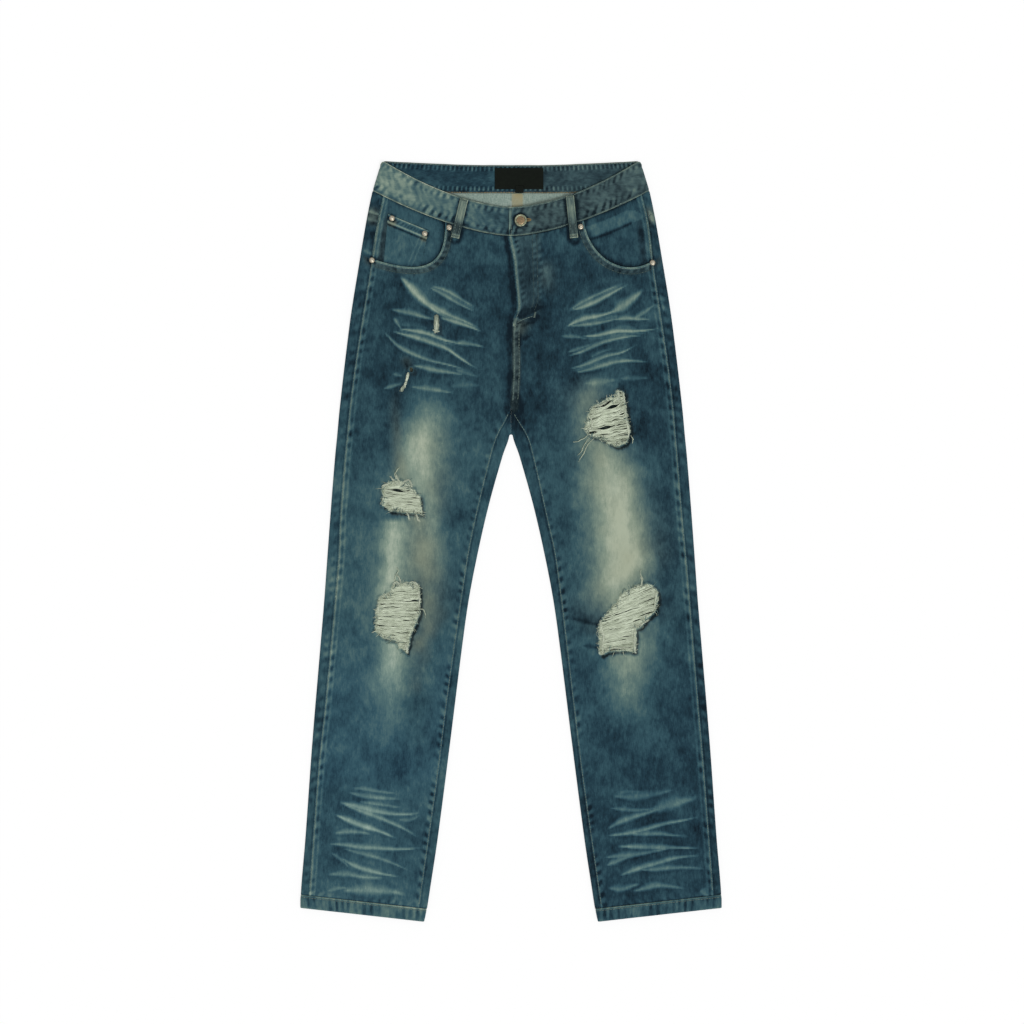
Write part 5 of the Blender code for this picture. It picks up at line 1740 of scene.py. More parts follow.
def bandStations():  # outer and inner corners of the band's sections, along its whole length
    half = waistFold[2][0]
    rows = []

    def front(start, end, lapping):
        for foot in between(start, end, band["step"]):
            top = foot * topFold[2][0] / half
            z = float(bandHeight(foot, lapping))
            low = z - cloth["bandWall"]
            edges = (top, frontWaist(top)), (foot, frontSeam(foot))
            rows.append([(*e, z) for e in edges] + [(*e, low) for e in edges])

    def side(sign):
        turns = []
        for fold in (topFold, waistFold):
            high = shape["bandLevel"]
            low = float(backLift(sign * fold[2][0], 0.5136))
            turns.append(foldRing(fold, sign, cloth["bandWall"], None, high, low)[::-1])
        found = [[a[0], b[0], a[1], b[1]] for a, b in zip(*turns)][1:-1]
        rows.extend(found if sign < 0 else found[::-1])

    front(shape["underlap"], -half, False)
    side(-1)
    for foot in between(-half, half, 0.0011):
        top = foot * topFold[2][0] / half
        low = float(backLift(foot, 0.5137))
        high = low + cloth["bandWall"]
        edges = (top, backWaist(top)), (foot, backSeam(foot))
        rows.append([(*e, low) for e in edges] + [(*e, high) for e in edges])
    side(1)
    front(half, shape["bandEnd"], True)
    return np.array(rows, float)


def buildBand():
    rows = bandStations()
    share = acrossSteps(band["width"], band["across"])[None, :, None]
    outer, inner, out = ruledFaces((rows[:, 0], rows[:, 1]), (rows[:, 2], rows[:, 3]), share)
    run = measured(rows[:, 1, :2])[:, None] + 0 * share[..., 0]
    wide = np.linalg.norm(rows[:, 0] - rows[:, 1], axis=1)[:, None]
    top, foot = share[..., 0] * wide, (1 - share[..., 0]) * wide
    edge = np.minimum(top, foot)
    onFront = (rows[:, 1, 2] > 0.0045)[:, None] * np.ones(share.shape[1])[None, :]
    fall = cloth["bandWall"] * 0.42 * rounded(edge, band["edgeRound"])
    groove = bell(edge - band["stitchIn"], 0.0011)
    ropeFoot = ropes(foot - 0.0078, run, 0.0, band["ropeDepth"], band["rope"], 80)
    ropeTop = ropes(top - 0.006, -run, 0.0, 0.0042, band["rope"] * 0.9, 81)
    ropeWave = ropeFoot * (0.35 + 0.65 * onFront) + 0.35 * ropeTop
    bulge = bell(edge - 0.0075, 0.005)
    soft = softNoise(run, top, 0.018, 82)
    rise = band["ropeHeight"] * ropeWave - 0.0004 * groove + 0.00025 * bulge + 0.0002 * soft
    shapeOut = rise * onFront - 0.0014 * groove * (1 - onFront) - fall
    bars = np.cos(2 * math.pi * (run / 0.0066 + 0.25 * softNoise(run, 0 * run, 0.03, 83)))
    bars = smooth((bars + 0.25) / 0.9)
    barRows = smooth((0.0100 - top) / 0.002) * smooth((top - 0.0014) / 0.0012)
    barRows = barRows + smooth((0.0112 - foot) / 0.002) * smooth((foot - 0.0034) / 0.0012)
    insideRise = (0.0003 * (bars - 0.4) * barRows - 0.0003 * groove) * (1 - onFront) - fall
    outerFinal = outer + out * shapeOut[..., None]
    innerFinal = inner - out * insideRise[..., None]
    for face in (outerFinal, innerFinal):  # the two top corners are round
        over = np.clip(np.abs(face[..., 0]) - topEdge[0] + band["corner"], 0, band["corner"] - 1e-5)
        drop = band["corner"] - np.sqrt(band["corner"] ** 2 - over**2)
        face[..., 1] -= drop * (1 - share[..., 0])
    along = rows[:, 1, 0][:, None]
    right, left = band["frontWear"]["right"], band["frontWear"]["left"]
    base = right + (left - right) * smooth((along + 0.10) / 0.14)
    base = base + 0.12 * smooth((along - 0.14) / 0.04) * onFront
    base = base * onFront + band["backWear"] * (1 - onFront)
    slant = softNoise(run + 0.8 * top, 0.45 * (top - 0.8 * run), 0.0042, 86)
    cloud = 0.07 * softNoise(run, top, 0.016, 85) + 0.14 * slant
    blocks = np.clip(ropeFoot, -1.3, 0.16) * (0.7 + 0.8 * softNoise(run, 0 * run, 0.014, 87))
    wear = base + cloud + 0.55 * blocks * onFront + 0.20 * np.clip(ropeTop, -1, 0.5)
    # painted shadow round the loops and the button
    wear = wear - 0.34 * fittingShadow(outerFinal[..., 0], outerFinal[..., 1]) * onFront
    wear = wear + band["edgeWear"] * bell(top, 0.0015) - 0.10 * groove
    wear = wear + band["footWear"] * bell(foot, 0.0013)
    wear = wear - 0.12 * bell(foot - 0.0040, 0.0016)
    endWear = 0.34 * bell((np.arange(len(rows)) - len(rows) + 2) * band["step"], 0.0024)
    wear = wear + endWear[:, None]
    uneven = 0.85 + 0.45 * softNoise(run, top, 0.010, 84)
    inside = band["backWear"] + 0.02 + 0.03 * smooth(along / 0.05) + 0.35 * cloud
    inside = inside + (0.36 * bars * uneven - 0.10) * barRows
    inside = inside + 0.36 * bell(edge, 0.0013) - 0.06 * groove
    warm = 0.75 * bell(edge, 0.0012) + 0.22 * smooth(along / 0.05)
    warm = warm * (1 - onFront) + onFront * (0.10 + 0.24 * smooth((along + 0.01) / 0.03))
    warm = np.maximum(warm, 0.6 * bell(foot, 0.0016) * onFront)
    made = stripCloth("denim_waistband", outerFinal, innerFinal, (wear, inside), denimAcross, warm=warm)
    return made, outerFinal, innerFinal, out, share[0, :, 0]


def hemRing(side, line):  # outer and inner points all round a leg, at one line across it
    fold, inFold = outerFold(meeting(outerEdge, line)), innerFold(meeting(innerEdge, line))
    xs = np.linspace(fold[2][0], inFold[2][0], hem["stations"])
    fold = (fold[0], fold[1], np.array((xs[0], line(xs[0]))))
    inFold = (inFold[0], inFold[1], np.array((xs[-1], line(xs[-1]))))
    thick, rings = cloth["hemWall"], []
    for place in (fold, inFold):
        x, y = np.array([side * place[2][0]]), np.array([place[2][1]])
        high, low = float(frontLevel(x, y)[0]), float(backLift(x, y)[0])
        rings.append(foldRing(place, side, thick, line, high, low))
    mid = xs[1:-1]
    x, y = side * mid, line(mid)
    high, low = frontLevel(x, y), 0 * x
    under = list(zip(columns(x, y, low), columns(x, y, low + thick)))
    over = list(zip(columns(x, y, high), columns(x, y, high - thick)))
    return rings[0][::-1] + under + rings[1] + over[::-1]


hem = {
    "stations": 110, "across": 0.0016, "stitchIn": 0.0025, "rope": 0.0098, "ropeHeight": 0.00034,
    "wear": {"right": 0.50, "left": 0.36},
}


def buildHem(name, side):
    top, foot = (np.array(hemRing(side, line), float) for line in (hemTop, hemEdge))
    share = acrossSteps(shape["hemDepth"], hem["across"])[None, :, None]
    outer, inner, out = ruledFaces((top[:, 0], foot[:, 0]), (top[:, 1], foot[:, 1]), share)
    run = measured(top[:, 0])[:, None] + 0 * share[..., 0]
    below = share[..., 0] * shape["hemDepth"] + 0 * run
    edge = np.minimum(below, shape["hemDepth"] - below)
    onFront = smooth((outer[..., 2] - 0.0025) / 0.002)
    wave = ropes((below - 0.0100) * 0.35, run, 0.0, 0.0036, hem["rope"], 90)
    fineWave = ropes((below - 0.0100) * 0.35, run, 0.0, 0.0036, hem["rope"] * 0.52, 93)
    notch = np.clip(-wave, 0, 1) * bell(below - 0.0050, 0.0030)
    groove = bell(below - hem["stitchIn"], 0.0011)
    fall = cloth["hemWall"] * 0.35 * rounded(edge, 0.0013)
    soft = softNoise(run, below, 0.02, 91)
    rise = (hem["ropeHeight"] * wave + 0.0002 * fineWave - 0.0004 * groove + 0.0003 * soft) * onFront
    rise = rise - 0.0014 * groove * (1 - onFront) - fall
    patchy = 0.7 + 0.6 * softNoise(run, 0 * run, 0.024, 94)
    wear = hem["wear"][name] + 0.19 * np.clip(wave, -1.2, 0.5) * patchy + 0.04 * fineWave
    wear = wear + 0.18 * softNoise(run, below, 0.016, 92)
    wear = wear - 0.10 * groove - 0.16 * notch
    wear = wear + 0.08 * bell(shape["hemDepth"] - below, 0.0016)
    wear = wear + 0.26 * bell(below - 0.0006, 0.0016)
    outerFinal = outer + out * rise[..., None]
    innerFinal = inner + out * fall[..., None]
    inside = 0 * wear + 0.3
    made = stripCloth("denim_hem_" + name, outerFinal, innerFinal, (wear, inside), denim, closed=True)
    return made, outerFinal, out, share[0, :, 0]


loop = {"step": 0.0011, "across": 0.0007, "wear": 0.60, "stitchIn": 0.0022, "foldEnd": 0.0035}


def buildLoop(name, top, foot, heights, facing):
    start, end = np.array(top, float), np.array(foot, float)
    long = float(np.linalg.norm(end - start))
    way = (end - start) / long
    sideways = np.array((-way[1], way[0])) * loopPlaces["width"]
    rows, width = between(0, long, loop["step"]), loopPlaces["width"]
    share = acrossSteps(width, loop["across"], 0.0003)
    places = start + way * rows[:, None, None] - sideways * (share[None, :, None] - 0.5)
    run, away = rows[:, None] + 0 * share, np.minimum(share, 1 - share)[None, :] * width + 0 * rows[:, None]
    z = np.interp(rows / long, np.linspace(0, 1, len(heights)), heights)[:, None]
    ends = np.minimum(run, long - run)
    fold = smooth((loop["foldEnd"] - ends) / 0.0010 + 0.5)
    groove = bell(away - loop["stitchIn"], 0.0007)
    fall = cloth["loopWall"] * 0.45 * np.maximum(rounded(away, 0.0009), rounded(ends, 0.0009))
    soft = softNoise(run, away + 0.1 * len(name), 0.007, 95)
    rise = 0.0005 * fold - 0.0003 * groove + 0.00022 * bell(away - 0.0055, 0.002) + 0.0001 * soft
    high = z + (rise if facing > 0 else 0) - fall
    low = z - cloth["loopWall"] + fall
    outer = np.concatenate([places, high[..., None]], axis=2)
    inner = np.concatenate([places, low[..., None]], axis=2)
    streak = softNoise(away + (share > 0.5) * 0.03, run * 0.2, 0.0022, 96)
    wear = loop["wear"] + 0.10 * soft + 0.12 * streak - 0.10 * groove
    wear = wear + 0.16 * bell(away, 0.0008) + 0.16 * fold
    # painted shade: the lower part of each loop is darker, as under its fold
    wear = wear - 0.38 * smooth((run / long - 0.42) / 0.3) * smooth((long - 0.004 - run) / 0.003)
    warm = 0.50 + 0 * wear
    made = stripCloth("denim_loop_" + name, outer, inner, (wear, wear), loopDenim, warm=warm)
    return made, outer, start, way, long


label = {"x": 0.0115, "y": 0.5145, "width": 0.0690, "height": 0.0300}
sizeTab = {"x": 0.0120, "y": 0.4990, "width": 0.0115, "height": 0.0102}


def buildTag(name, size, level):  # a woven tag with turned-in edges
    xs = size["x"] + size["width"] * (acrossSteps(size["width"], 0.0016, 0.0003) - 0.5)
    share = acrossSteps(size["height"], 0.0016, 0.0003)
    ys = size["y"] + size["height"] * (0.5 - share)
    x, y = np.meshgrid(xs, ys, indexing="ij")
    edge = np.minimum(np.abs(x - xs[0]), np.abs(x - xs[-1]))
    edge = np.minimum(edge, np.minimum(np.abs(y - ys[0]), np.abs(y - ys[-1])))
    fall = 0.00035 * rounded(edge, 0.0006)
    pucker = 0.00022 * softNoise(x, y, 0.007, 97) + 0.00015 * softNoise(x, y, 0.003, 98)
    hemmed = 0.0002 * smooth((0.0032 - edge) / 0.0008)
    high = level + cloth["thinWall"] + pucker + hemmed - fall
    low = level + fall + 0 * x
    return stripCloth(name, columns(x, y, high), columns(x, y, low), (0 * x, 0 * x), blackTape)


# stitches

stitch = {"length": 0.0036, "gap": 0.0003, "radius": 0.00046}
threads = {}


def sew(group, line, up=(0, 0, 1), length=None, gap=None, radius=None, lift=0.0001, tone=0.6):
    line = np.asarray(line, float)
    up = np.broadcast_to(np.asarray(up, float), line.shape)
    length, gap = length or stitch["length"], stitch["gap"] if gap is None else gap
    radius = radius or stitch["radius"]
    run = measured(line)
    count = int(run[-1] / (length + gap))
    if count < 1:
        return
    dice = np.random.default_rng(int(run[-1] * 1e5) + count)
    starts = (np.arange(count) + 0.5) * run[-1] / count - length / 2
    at = starts[:, None] + length * np.array([0, 0.2, 0.5, 0.8, 1]) + dice.normal(0, 0.00012, (count, 1))
    spots = pointsAt(line, at)
    normals = np.stack([np.interp(at, run, up[:, k]) for k in range(3)], axis=-1)
    ahead = unit(np.gradient(spots, axis=1), 1e-12)
    crosswise = np.cross(ahead, normals)
    lean = dice.normal(0, 0.00010, (count, 1)) * np.array([-1, -0.6, 0, 0.6, 1])
    rise = np.array([-0.9, 0.2, 0.5, 0.2, -0.9]) * radius + lift
    spots = spots + normals * rise[None, :, None] + crosswise * lean[..., None]
    radii = radius * np.array([0.55, 1, 1.08, 1, 0.55]) * dice.uniform(0.88, 1.12, (count, 1))
    tones = np.clip(dice.normal(tone, 0.12, count), 0, 1)
    store = threads.setdefault(group, ([], [], []))
    for held, value in zip(store, (spots, radii, tones)):
        held.append(value)


def onFront(line, name, lift=0.0):  # a plan line laid on the front of a leg
    line = np.asarray(line, float)
    z = frontSurface(line[:, 0], line[:, 1], name)
    return np.column_stack([line, z + lift])


def buildThreads(group, material):
    spots, radii, tones = (np.concatenate(part) for part in threads[group])
    return tubes("stitches_" + group, spots, radii, material, 5, tones)


eyelet = {"place": (0.0222, 0.4556), "long": 0.0052, "high": 0.0008, "stitches": 64}


def sewEyelet():  # a keyhole of close tan stitches round the button's slot
    spots, count = [], 5
    reach = np.linspace(-0.0003, 0.0015, count)
    for turn in np.linspace(0, 2 * math.pi, eyelet["stitches"], endpoint=False):
        cosine, sine = math.cos(turn), math.sin(turn)
        slot = eyelet["place"] + np.array((eyelet["long"] * cosine, eyelet["high"] * sine))
        out = np.array((cosine, 0.6 * sine))
        if abs(sine) > 0.2:
            out = unit(np.array((0.35 * cosine, sine + 1e-6)))
        rise = 0.0004 * np.sin(np.linspace(0.1, math.pi - 0.1, count))
        line = slot + out * reach[:, None]
        spots.append(np.column_stack([line, float(bandHeight(slot[0], True)) + rise - 0.0001]))
    return tubes("stitches_eyelet", spots, 0.00036, tanThread, 5, np.full(eyelet["stitches"], 0.5))


def barTack(group, middle, way, length, width, z, rows=10):
    way = np.array(way, float) / math.hypot(*way)
    crossway = np.array((-way[1], way[0]))
    for share in np.linspace(-0.5, 0.5, rows):
        spot = np.array(middle) + way * length * share
        ends = [spot - crossway * width / 2, spot + crossway * width / 2]
        line = np.array([(*ends[0], z), (*((ends[0] + ends[1]) / 2), z + 0.0002), (*ends[1], z)])
        sew(group, line, length=width * 0.98, gap=0.0, radius=0.00034)


def sewFront(name, side):
    group = "leg_" + name
    for seam, high, away in ((outseam, 0.476, -0.0022), (inseam, 0.180, 0.0022)):
        foot = meeting(seam[name], hemLine) + 0.0015
        line = resampled(seamLine(seam, name, foot, high, away), 0.004)
        sew(group, onFront(line, name))
    for away, start, end, tone in ((0.0024, 0.02, 0.98, 0.7), (0.0094, 0.03, 0.95, 0.15)):
        line = resampled(mouthLine(name, away), 0.003)
        line = line[int(len(line) * start): int(len(line) * end)] * (side, 1)
        sew("pocket_" + name, onFront(line, name), tone=tone)


fly = {
    "jOut": 0.0385,
    "jStart": 0.4370,
    "jTurn": 0.3500,
    "jEnd": (0.0118, 0.3130),
    "twin": 0.0062,
    "tacks": [  # place, direction, length, width and height over the cloth
        ((0.0338, 0.3208), (0.25, 1), 0.0076, 0.0028, 0.0003),
        ((0.0060, 0.3030), (0, 1), 0.0070, 0.0026, 0.0002),
    ],
}


def sewFly():
    for start, away in ((0.431, 0.0020), (0.300, 0.0090)):
        ys = np.arange(start, 0.198, -0.003)
        sew("fly", onFront(columns(flyEdge(ys) + away, ys), "left"))
    for inset in (0.0, fly["twin"]):
        out, (endX, endY) = fly["jOut"] - inset, fly["jEnd"]
        straight = between(fly["jStart"], fly["jTurn"], 0.003)
        line = columns(out - 0.002 * (straight - fly["jTurn"]) / 0.08, straight)
        handles = (out, 0.3300 + inset * 0.5), (0.030, 0.3190 + inset)
        curve = bezier((out, fly["jTurn"]), *handles, (endX, endY + inset))
        curve = curve[: len(curve) // 2]
        sew("fly", onFront(resampled(np.vstack([line, curve]), 0.003), "left"), tone=0.05, radius=0.00028)
    sew("fly", onFront(bowed((0.0090, 0.3100), (0.0200, 0.3155), (0.0310, 0.3190)), "left"))
    for place, way, length, width, lift in fly["tacks"]:
        z = float(frontSurface(*np.array(place)[:, None], "left")[0])
        barTack("fly", place, way, length, width, z + lift)


def sewUnder(line, z):  # stitches on the side the garment lies on
    sew("back", np.column_stack([line, z]), (0, 0, -1), radius=0.00036, lift=-0.00035, tone=0.45)


def sewBack():
    for side in sides.values():
        for inset in (0.0020, 0.0084):
            line = resampled(pocketOutline(side, inset), 0.003)
            sewUnder(line, 0 * line[:, 0])
        for rise in (0.0022, 0.0086):
            xs = between(0.004, yokeFold[2][0] - 0.004, 0.003)
            line = columns(side * xs, yokeSeam(xs) + rise)
            sewUnder(line, underSurface(line[:, 0], line[:, 1]))
    for across in (0.0022, 0.0086):
        for low, high in ((0.190, 0.413), (0.424, 0.490)):
            ys = between(low, high, 0.003)
            sewUnder(columns(across, ys), underSurface(0 * ys + across, ys))


def stitchColumn(shares, width, away):
    return int(np.argmin(np.abs(shares * width - away)))


def sewBand(outer, inner, out, shares):
    width = band["width"]
    for away in (band["stitchIn"], width - band["stitchIn"]):
        j = stitchColumn(shares, width, away)
        sew("band", outer[:, j], out[:, j], tone=0.5 if away < width / 2 else 0.3)
        back = inner[:, j, 2] < 0.0049
        group = "band_inside_top" if away < width / 2 else "band_inside"
        sew(group, inner[back, j], -out[back, j])
    end = resampled(outer[-2, 2:-2], 0.003)
    sew("band", end + (0.0018, 0, 0.0001), tone=0.35)


# torn yarns

yarn = {"radius": 0.00060, "pitch": 0.00106, "sag": 0.0010, "under": 0.0009}
tears = {  # slopes of the yarns at the top and foot of each rip, how loose they are, and openings between them
    "thighRight": {"top": -0.16, "foot": 0.02, "bundle": 5, "loose": 0.5, "gaps": [
        (-161.5, 72, 8.5, 2.3, -0.20), (-152, 60, 6, 0.5, -0.15), (-146, 51, 5, 0.5, 0.1)]},
    "kneeRight": {"top": 0.04, "foot": -0.10, "bundle": 4, "loose": 0.45, "gaps": [
        (-168, -93, 7, 0.5, -0.05), (-150, -108, 8, 0.5, -0.1), (-165, -122, 7, 0.6, 0.05),
        (-146, -126, 4, 0.7, -0.3)]},
    "thighLeft": {"top": 0.50, "foot": 0.05, "bundle": 5, "loose": 0.8, "gaps": [
        (133, 194, 10, 2.5, 0.41), (144.6, 191, 8.5, 2.6, 0.38), (134, 161, 9.5, 2.4, 0.20),
        (117, 154.6, 5.5, 1.6, 0.16), (146.5, 163, 1.6, 0.9, 0.21), (153, 165.5, 1.8, 0.9, 0.21),
        (123.5, 146, 4, 1.6, 0.11), (135, 141.5, 5, 1.5, 0.09)]},
    "kneeLeft": {"top": 0.46, "foot": 0.14, "bundle": 4, "loose": 0.42, "gaps": [
        (152, -153.5, 14, 1.6, 0.02), (150, -76, 10, 0.7, 0.42), (142, -126, 8, 0.6, 0.10),
        (164, -136, 6, 0.9, 0.12), (178, -96, 10, 0.5, 0.34)]},
}


def opened(x, y, gaps):  # spreads yarns round lens-shaped openings
    for middleX, middleY, long, high, slope in gaps:
        dx, dy = x * 1000 - middleX, y * 1000 - middleY
        along, off = dx + slope * dy, dy - slope * dx
        way = 1 if off[np.argmin(np.abs(along))] > 0 else -1
        push = high * way * np.exp(-((along / long) ** 2) - np.abs(off) / (2.4 * high))
        x, y = x - slope * push * 0.001, y + push * 0.001
    return x, y


def crossings(outline, middle, way):  # where a straight line enters and leaves an outline
    normal = np.array((-way[1], way[0]))
    a, b = outline, np.roll(outline, -1, axis=0)
    da, db = (a - middle) @ normal, (b - middle) @ normal
    hit = (da > 0) != (db > 0)
    share = (da[hit] / (da[hit] - db[hit]))[:, None]
    points = a[hit] + (b[hit] - a[hit]) * share
    return np.sort((points - middle) @ way)


def laidOn(lines, name):  # lines given as x, y and height over the cloth
    lines = np.array(lines, float)
    lines[..., 2] += frontSurface(lines[..., 0].ravel(), lines[..., 1].ravel(), name).reshape(lines.shape[:2])
    return lines


def tearYarns(rip, name):
    outline, t = ripEdges[rip], tears[rip]
    dice = np.random.default_rng(len(rip) * 7 + int(abs(outline[0, 0]) * 1e4))
    low, high = outline.min(axis=0), outline.max(axis=0)
    centre = (low[0] + high[0]) / 2
    y, lines, tones, count = low[1] + 0.0008, [], [], 0
    lean = 0.0
    while y < high[1] - 0.0006:
        share = (y - low[1]) / (high[1] - low[1])
        place = count % t["bundle"]
        if place == 0:
            lean = dice.normal(0, 0.050) * t["loose"]
        slope = t["foot"] + (t["top"] - t["foot"]) * share + lean + dice.normal(0, 0.018) * t["loose"]
        way = np.array((1.0, slope)) / math.hypot(1, slope)
        found = crossings(outline, np.array((centre, y)), way)
        bundle = count // t["bundle"]
        edgeOf = abs(2 * (place + 0.5) / t["bundle"] - 1) ** 2
        for start, end in zip(found[::2], found[1::2]):
            if end - start < 0.003:
                continue
            ends = start - dice.uniform(0.0008, 0.0030), end + dice.uniform(0.0008, 0.0030)
            us = np.linspace(ends[0], ends[1], 30)
            loose = smooth((us - start) / 0.006) * smooth((end - us) / 0.006)
            wave = 0.0022 * t["loose"] * softNoise(us, us * 0 + bundle * 0.013, 0.010, 101)
            wave += 0.0005 * softNoise(us, us * 0 + count * 0.007, 0.004, 102)
            x = centre + way[0] * us - way[1] * wave * loose
            yy = y + way[1] * us + way[0] * wave * loose
            x, yy = opened(x, yy, t["gaps"])
            hang = 0.45 + 0.15 * math.sin(2.1 * bundle) + 0.30 * t["loose"] * edgeOf
            z = -0.0002 - loose * yarn["sag"] * hang
            z = z + 0.0007 * softNoise(x + yy, yy - x, 0.0075, 103) * (0.3 + loose)
            lines.append(columns(x, yy, z))
            patch = 0.16 * softNoise(x, yy * 1.6, 0.0065, 104)
            # painted shade: yarns at the edges of a bundle are darker
            tones.append(0.72 + patch - (0.10 + 0.14 * t["loose"]) * edgeOf + dice.normal(0, 0.05))
            below = yarn["under"] * (0.2 + loose) * (0.5 + 0.5 * t["loose"])
            x, yy = opened(x, yy + yarn["pitch"] * 0.5, t["gaps"])
            lines.append(columns(x, yy, z - below))
            # painted shade: the lower layer of yarns is darker
            tones.append(0.56 - 0.16 * t["loose"] + patch)
        count += 1
        y += yarn["pitch"] * dice.uniform(0.85, 1.15)
        if count % t["bundle"] == 0:
            y += dice.uniform(0.0001, 0.0007) * t["loose"]
    return laidOn(lines, name), tones


def frayYarns(rip, name, spacing=0.0009):  # short ends that stand out all round a rip
    outline = ripEdges[rip]
    dice = np.random.default_rng(len(rip) * 13 + 5)
    closed = resampled(closedLoop(outline), spacing)
    ahead = unit(np.gradient(closed, axis=0))
    middle = outline.mean(axis=0)
    pale, blue = ([], []), ([], [])
    for spot, way in zip(closed, ahead):
        out = np.array((way[1], -way[0]))
        if (spot - middle) @ out < 0:
            out = -out
        bare = (rip == "thighLeft") and spot[0] > 0.157 and spot[1] > 0.16
        if dice.random() < (0.77 if bare else 0.22 if out[0] < -0.4 else 0.46):
            continue
        isSide = abs(out[0]) > 0.6
        direction = -out * dice.choice([1.0, 1.0, -0.45]) + way * dice.normal(0, 0.55)
        direction /= np.linalg.norm(direction)
        long = dice.uniform(0.0022, 0.0075) * (0.8 if isSide else 1.15)
        steps = np.linspace(0, 1, 8)[:, None]
        curl = np.array((-direction[1], direction[0])) * dice.normal(0, 0.6) * long
        path = spot + out * 0.0012 + direction * long * steps + curl * steps**2
        rise = dice.uniform(0.0001, 0.0014) * np.sin(steps[:, 0] * 2.4)
        blueEnd = dice.random() < (0.16 if isSide else 0.40)
        store = blue if blueEnd else pale
        store[0].append(np.column_stack([path, 0.0002 + rise]))
        store[1].append(dice.normal(0.5, 0.15))
    return [(laidOn(lines, name), tones) for lines, tones in (pale, blue)]


looseThreads = {  # millimetres, in the order they hang
    "right": [
        [(-163, 88), (-165, 95), (-161, 102), (-158, 104)],
        [(-166, -58), (-164, -50), (-160, -42), (-163, -38)],
        [(-188, -126), (-194, -129), (-199, -131)],
        [(-132, -96), (-125, -97), (-121, -104), (-122, -110)],
    ],
    "left": [
        [(118, 146), (110, 138), (103, 124), (98, 116), (96, 112)],
        [(109, 150), (102, 145), (94, 141), (88, 140)],
        [(112, 148), (104, 136), (101, 128), (94, 121)],
        [(184, -66), (187, -56), (184, -46), (185, -41)],
        [(170, 150), (174, 144), (172, 138)],
    ],
}


tufts = {  # bundles of white ends on the tears: half width, count, tone and path in millimetres
    "right": [
        (3.2, 48, 0.46, (-106, 321), (-106, 312), (-106, 304), (-107, 295)),
        (1.6, 26, 0.85, (-106, 315), (-105, 308), (-105, 303), (-106, 299)),
        (2.6, 18, 0.60, (-110, 299), (-106, 298), (-103, 297)),
        (1.3, 24, 0.90, (-146, 239), (-147, 233), (-148.6, 226)),
        (1.5, 18, 0.80, (-149, 226), (-150.5, 221), (-151, 217)),
        (1.9, 20, 0.40, (-151, 220), (-154, 217), (-156, 212)),
        (0.9, 12, 0.65, (-172, 92), (-168, 87), (-163, 82), (-160, 79)),
        (0.8, 12, 0.60, (-163, 95), (-162, 88), (-158, 82)),
        (0.9, 13, 0.65, (-153, 83), (-146, 88), (-142, 83), (-141, 76)),
        (1.4, 18, 0.60, (-183, 76), (-180, 80), (-174, 80)),
        (0.7, 9, 0.60, (-148, 41), (-146, 35), (-144, 29)),
        (0.7, 10, 0.65, (-135, 40), (-133, 33), (-130, 27)),
        (0.8, 11, 0.65, (-168, -62), (-162, -56), (-158, -64)),
        (0.8, 11, 0.70, (-146, -62), (-140, -57), (-134, -61), (-133, -67)),
        (0.7, 9, 0.60, (-157, -60), (-158, -54), (-162, -48)),
        (0.9, 13, 0.75, (-150, -146), (-148, -153), (-147, -160)),
        (0.9, 12, 0.65, (-181, -136), (-176, -140), (-168, -139), (-160, -142)),
        (0.7, 9, 0.70, (-189, -104), (-189, -96), (-187, -88)),
        (0.7, 8, 0.70, (-131, -70), (-130, -84), (-131, -98)),
    ],
    "left": [
        (2.2, 28, 0.70, (151, 214), (152, 207), (153, 198)),
        (0.7, 13, 0.80, (158, 211), (160, 204), (161, 196)),
        (0.7, 12, 0.75, (162, 190), (162, 181), (164, 172)),
        (0.8, 13, 0.80, (163, 173), (166, 163), (168, 154), (166, 146)),
        (1.1, 15, 0.75, (112, 175), (117, 169), (114, 160), (109, 157)),
        (0.9, 12, 0.70, (118, 190), (127, 192), (137, 198)),
        (1.1, 18, 0.80, (127, -113), (128, -124), (132, -136), (130, -150)),
        (0.9, 12, 0.70, (129, -146), (130, -155), (128, -162)),
        (0.7, 13, 0.75, (175, -126), (176, -140), (175, -152), (177, -160)),
        (0.8, 9, 0.65, (134, -154), (146, -152), (160, -152), (172, -154)),
        (0.8, 9, 0.65, (184, -66), (186, -58), (185, -50)),
        (0.8, 10, 0.75, (196, -112), (189, -116), (183, -121)),
        (0.8, 10, 0.75, (205, -70), (206, -84), (203, -98)),
    ],
}


def tuftYarns(name):
    lines, tones = [], []
    for k, (half, count, tone, *points) in enumerate(tufts[name]):
        dice = np.random.default_rng(300 + k)
        path = resampled(eased(points) * 0.001, 0.0010)
        steps, long = np.linspace(0, 1, 10), measured(path)[-1]
        for strand in range(count):
            low, high = sorted(dice.uniform(-0.12, 1.12, 2))
            if high - low < 0.4:
                low, high = -0.05, 1.05
            at = low + (high - low) * steps
            x, y = pointsAt(path, at * long).T
            side = dice.uniform(-1, 1)
            spread = half * 0.001 * np.sin(math.pi * (0.2 + 0.6 * np.clip(at, 0, 1))) * side
            x = x + spread + 0.0016 * softNoise(at * 0.02, at * 0 + strand * 0.01, 0.005, 111)
            y = y + (at - np.clip(at, 0, 1)) * 0.012 * dice.uniform(0.3, 1)
            y = y + 0.0013 * softNoise(at * 0.02, at * 0 + strand * 0.01, 0.005, 112)
            lines.append(columns(x, y, dice.uniform(0.0002, 0.0012) * np.sin(math.pi * steps) + 0.0002))
            tones.append(tone - 0.25 * abs(side) + dice.normal(0, 0.16))
    return laidOn(lines, name), np.clip(tones, 0, 1)


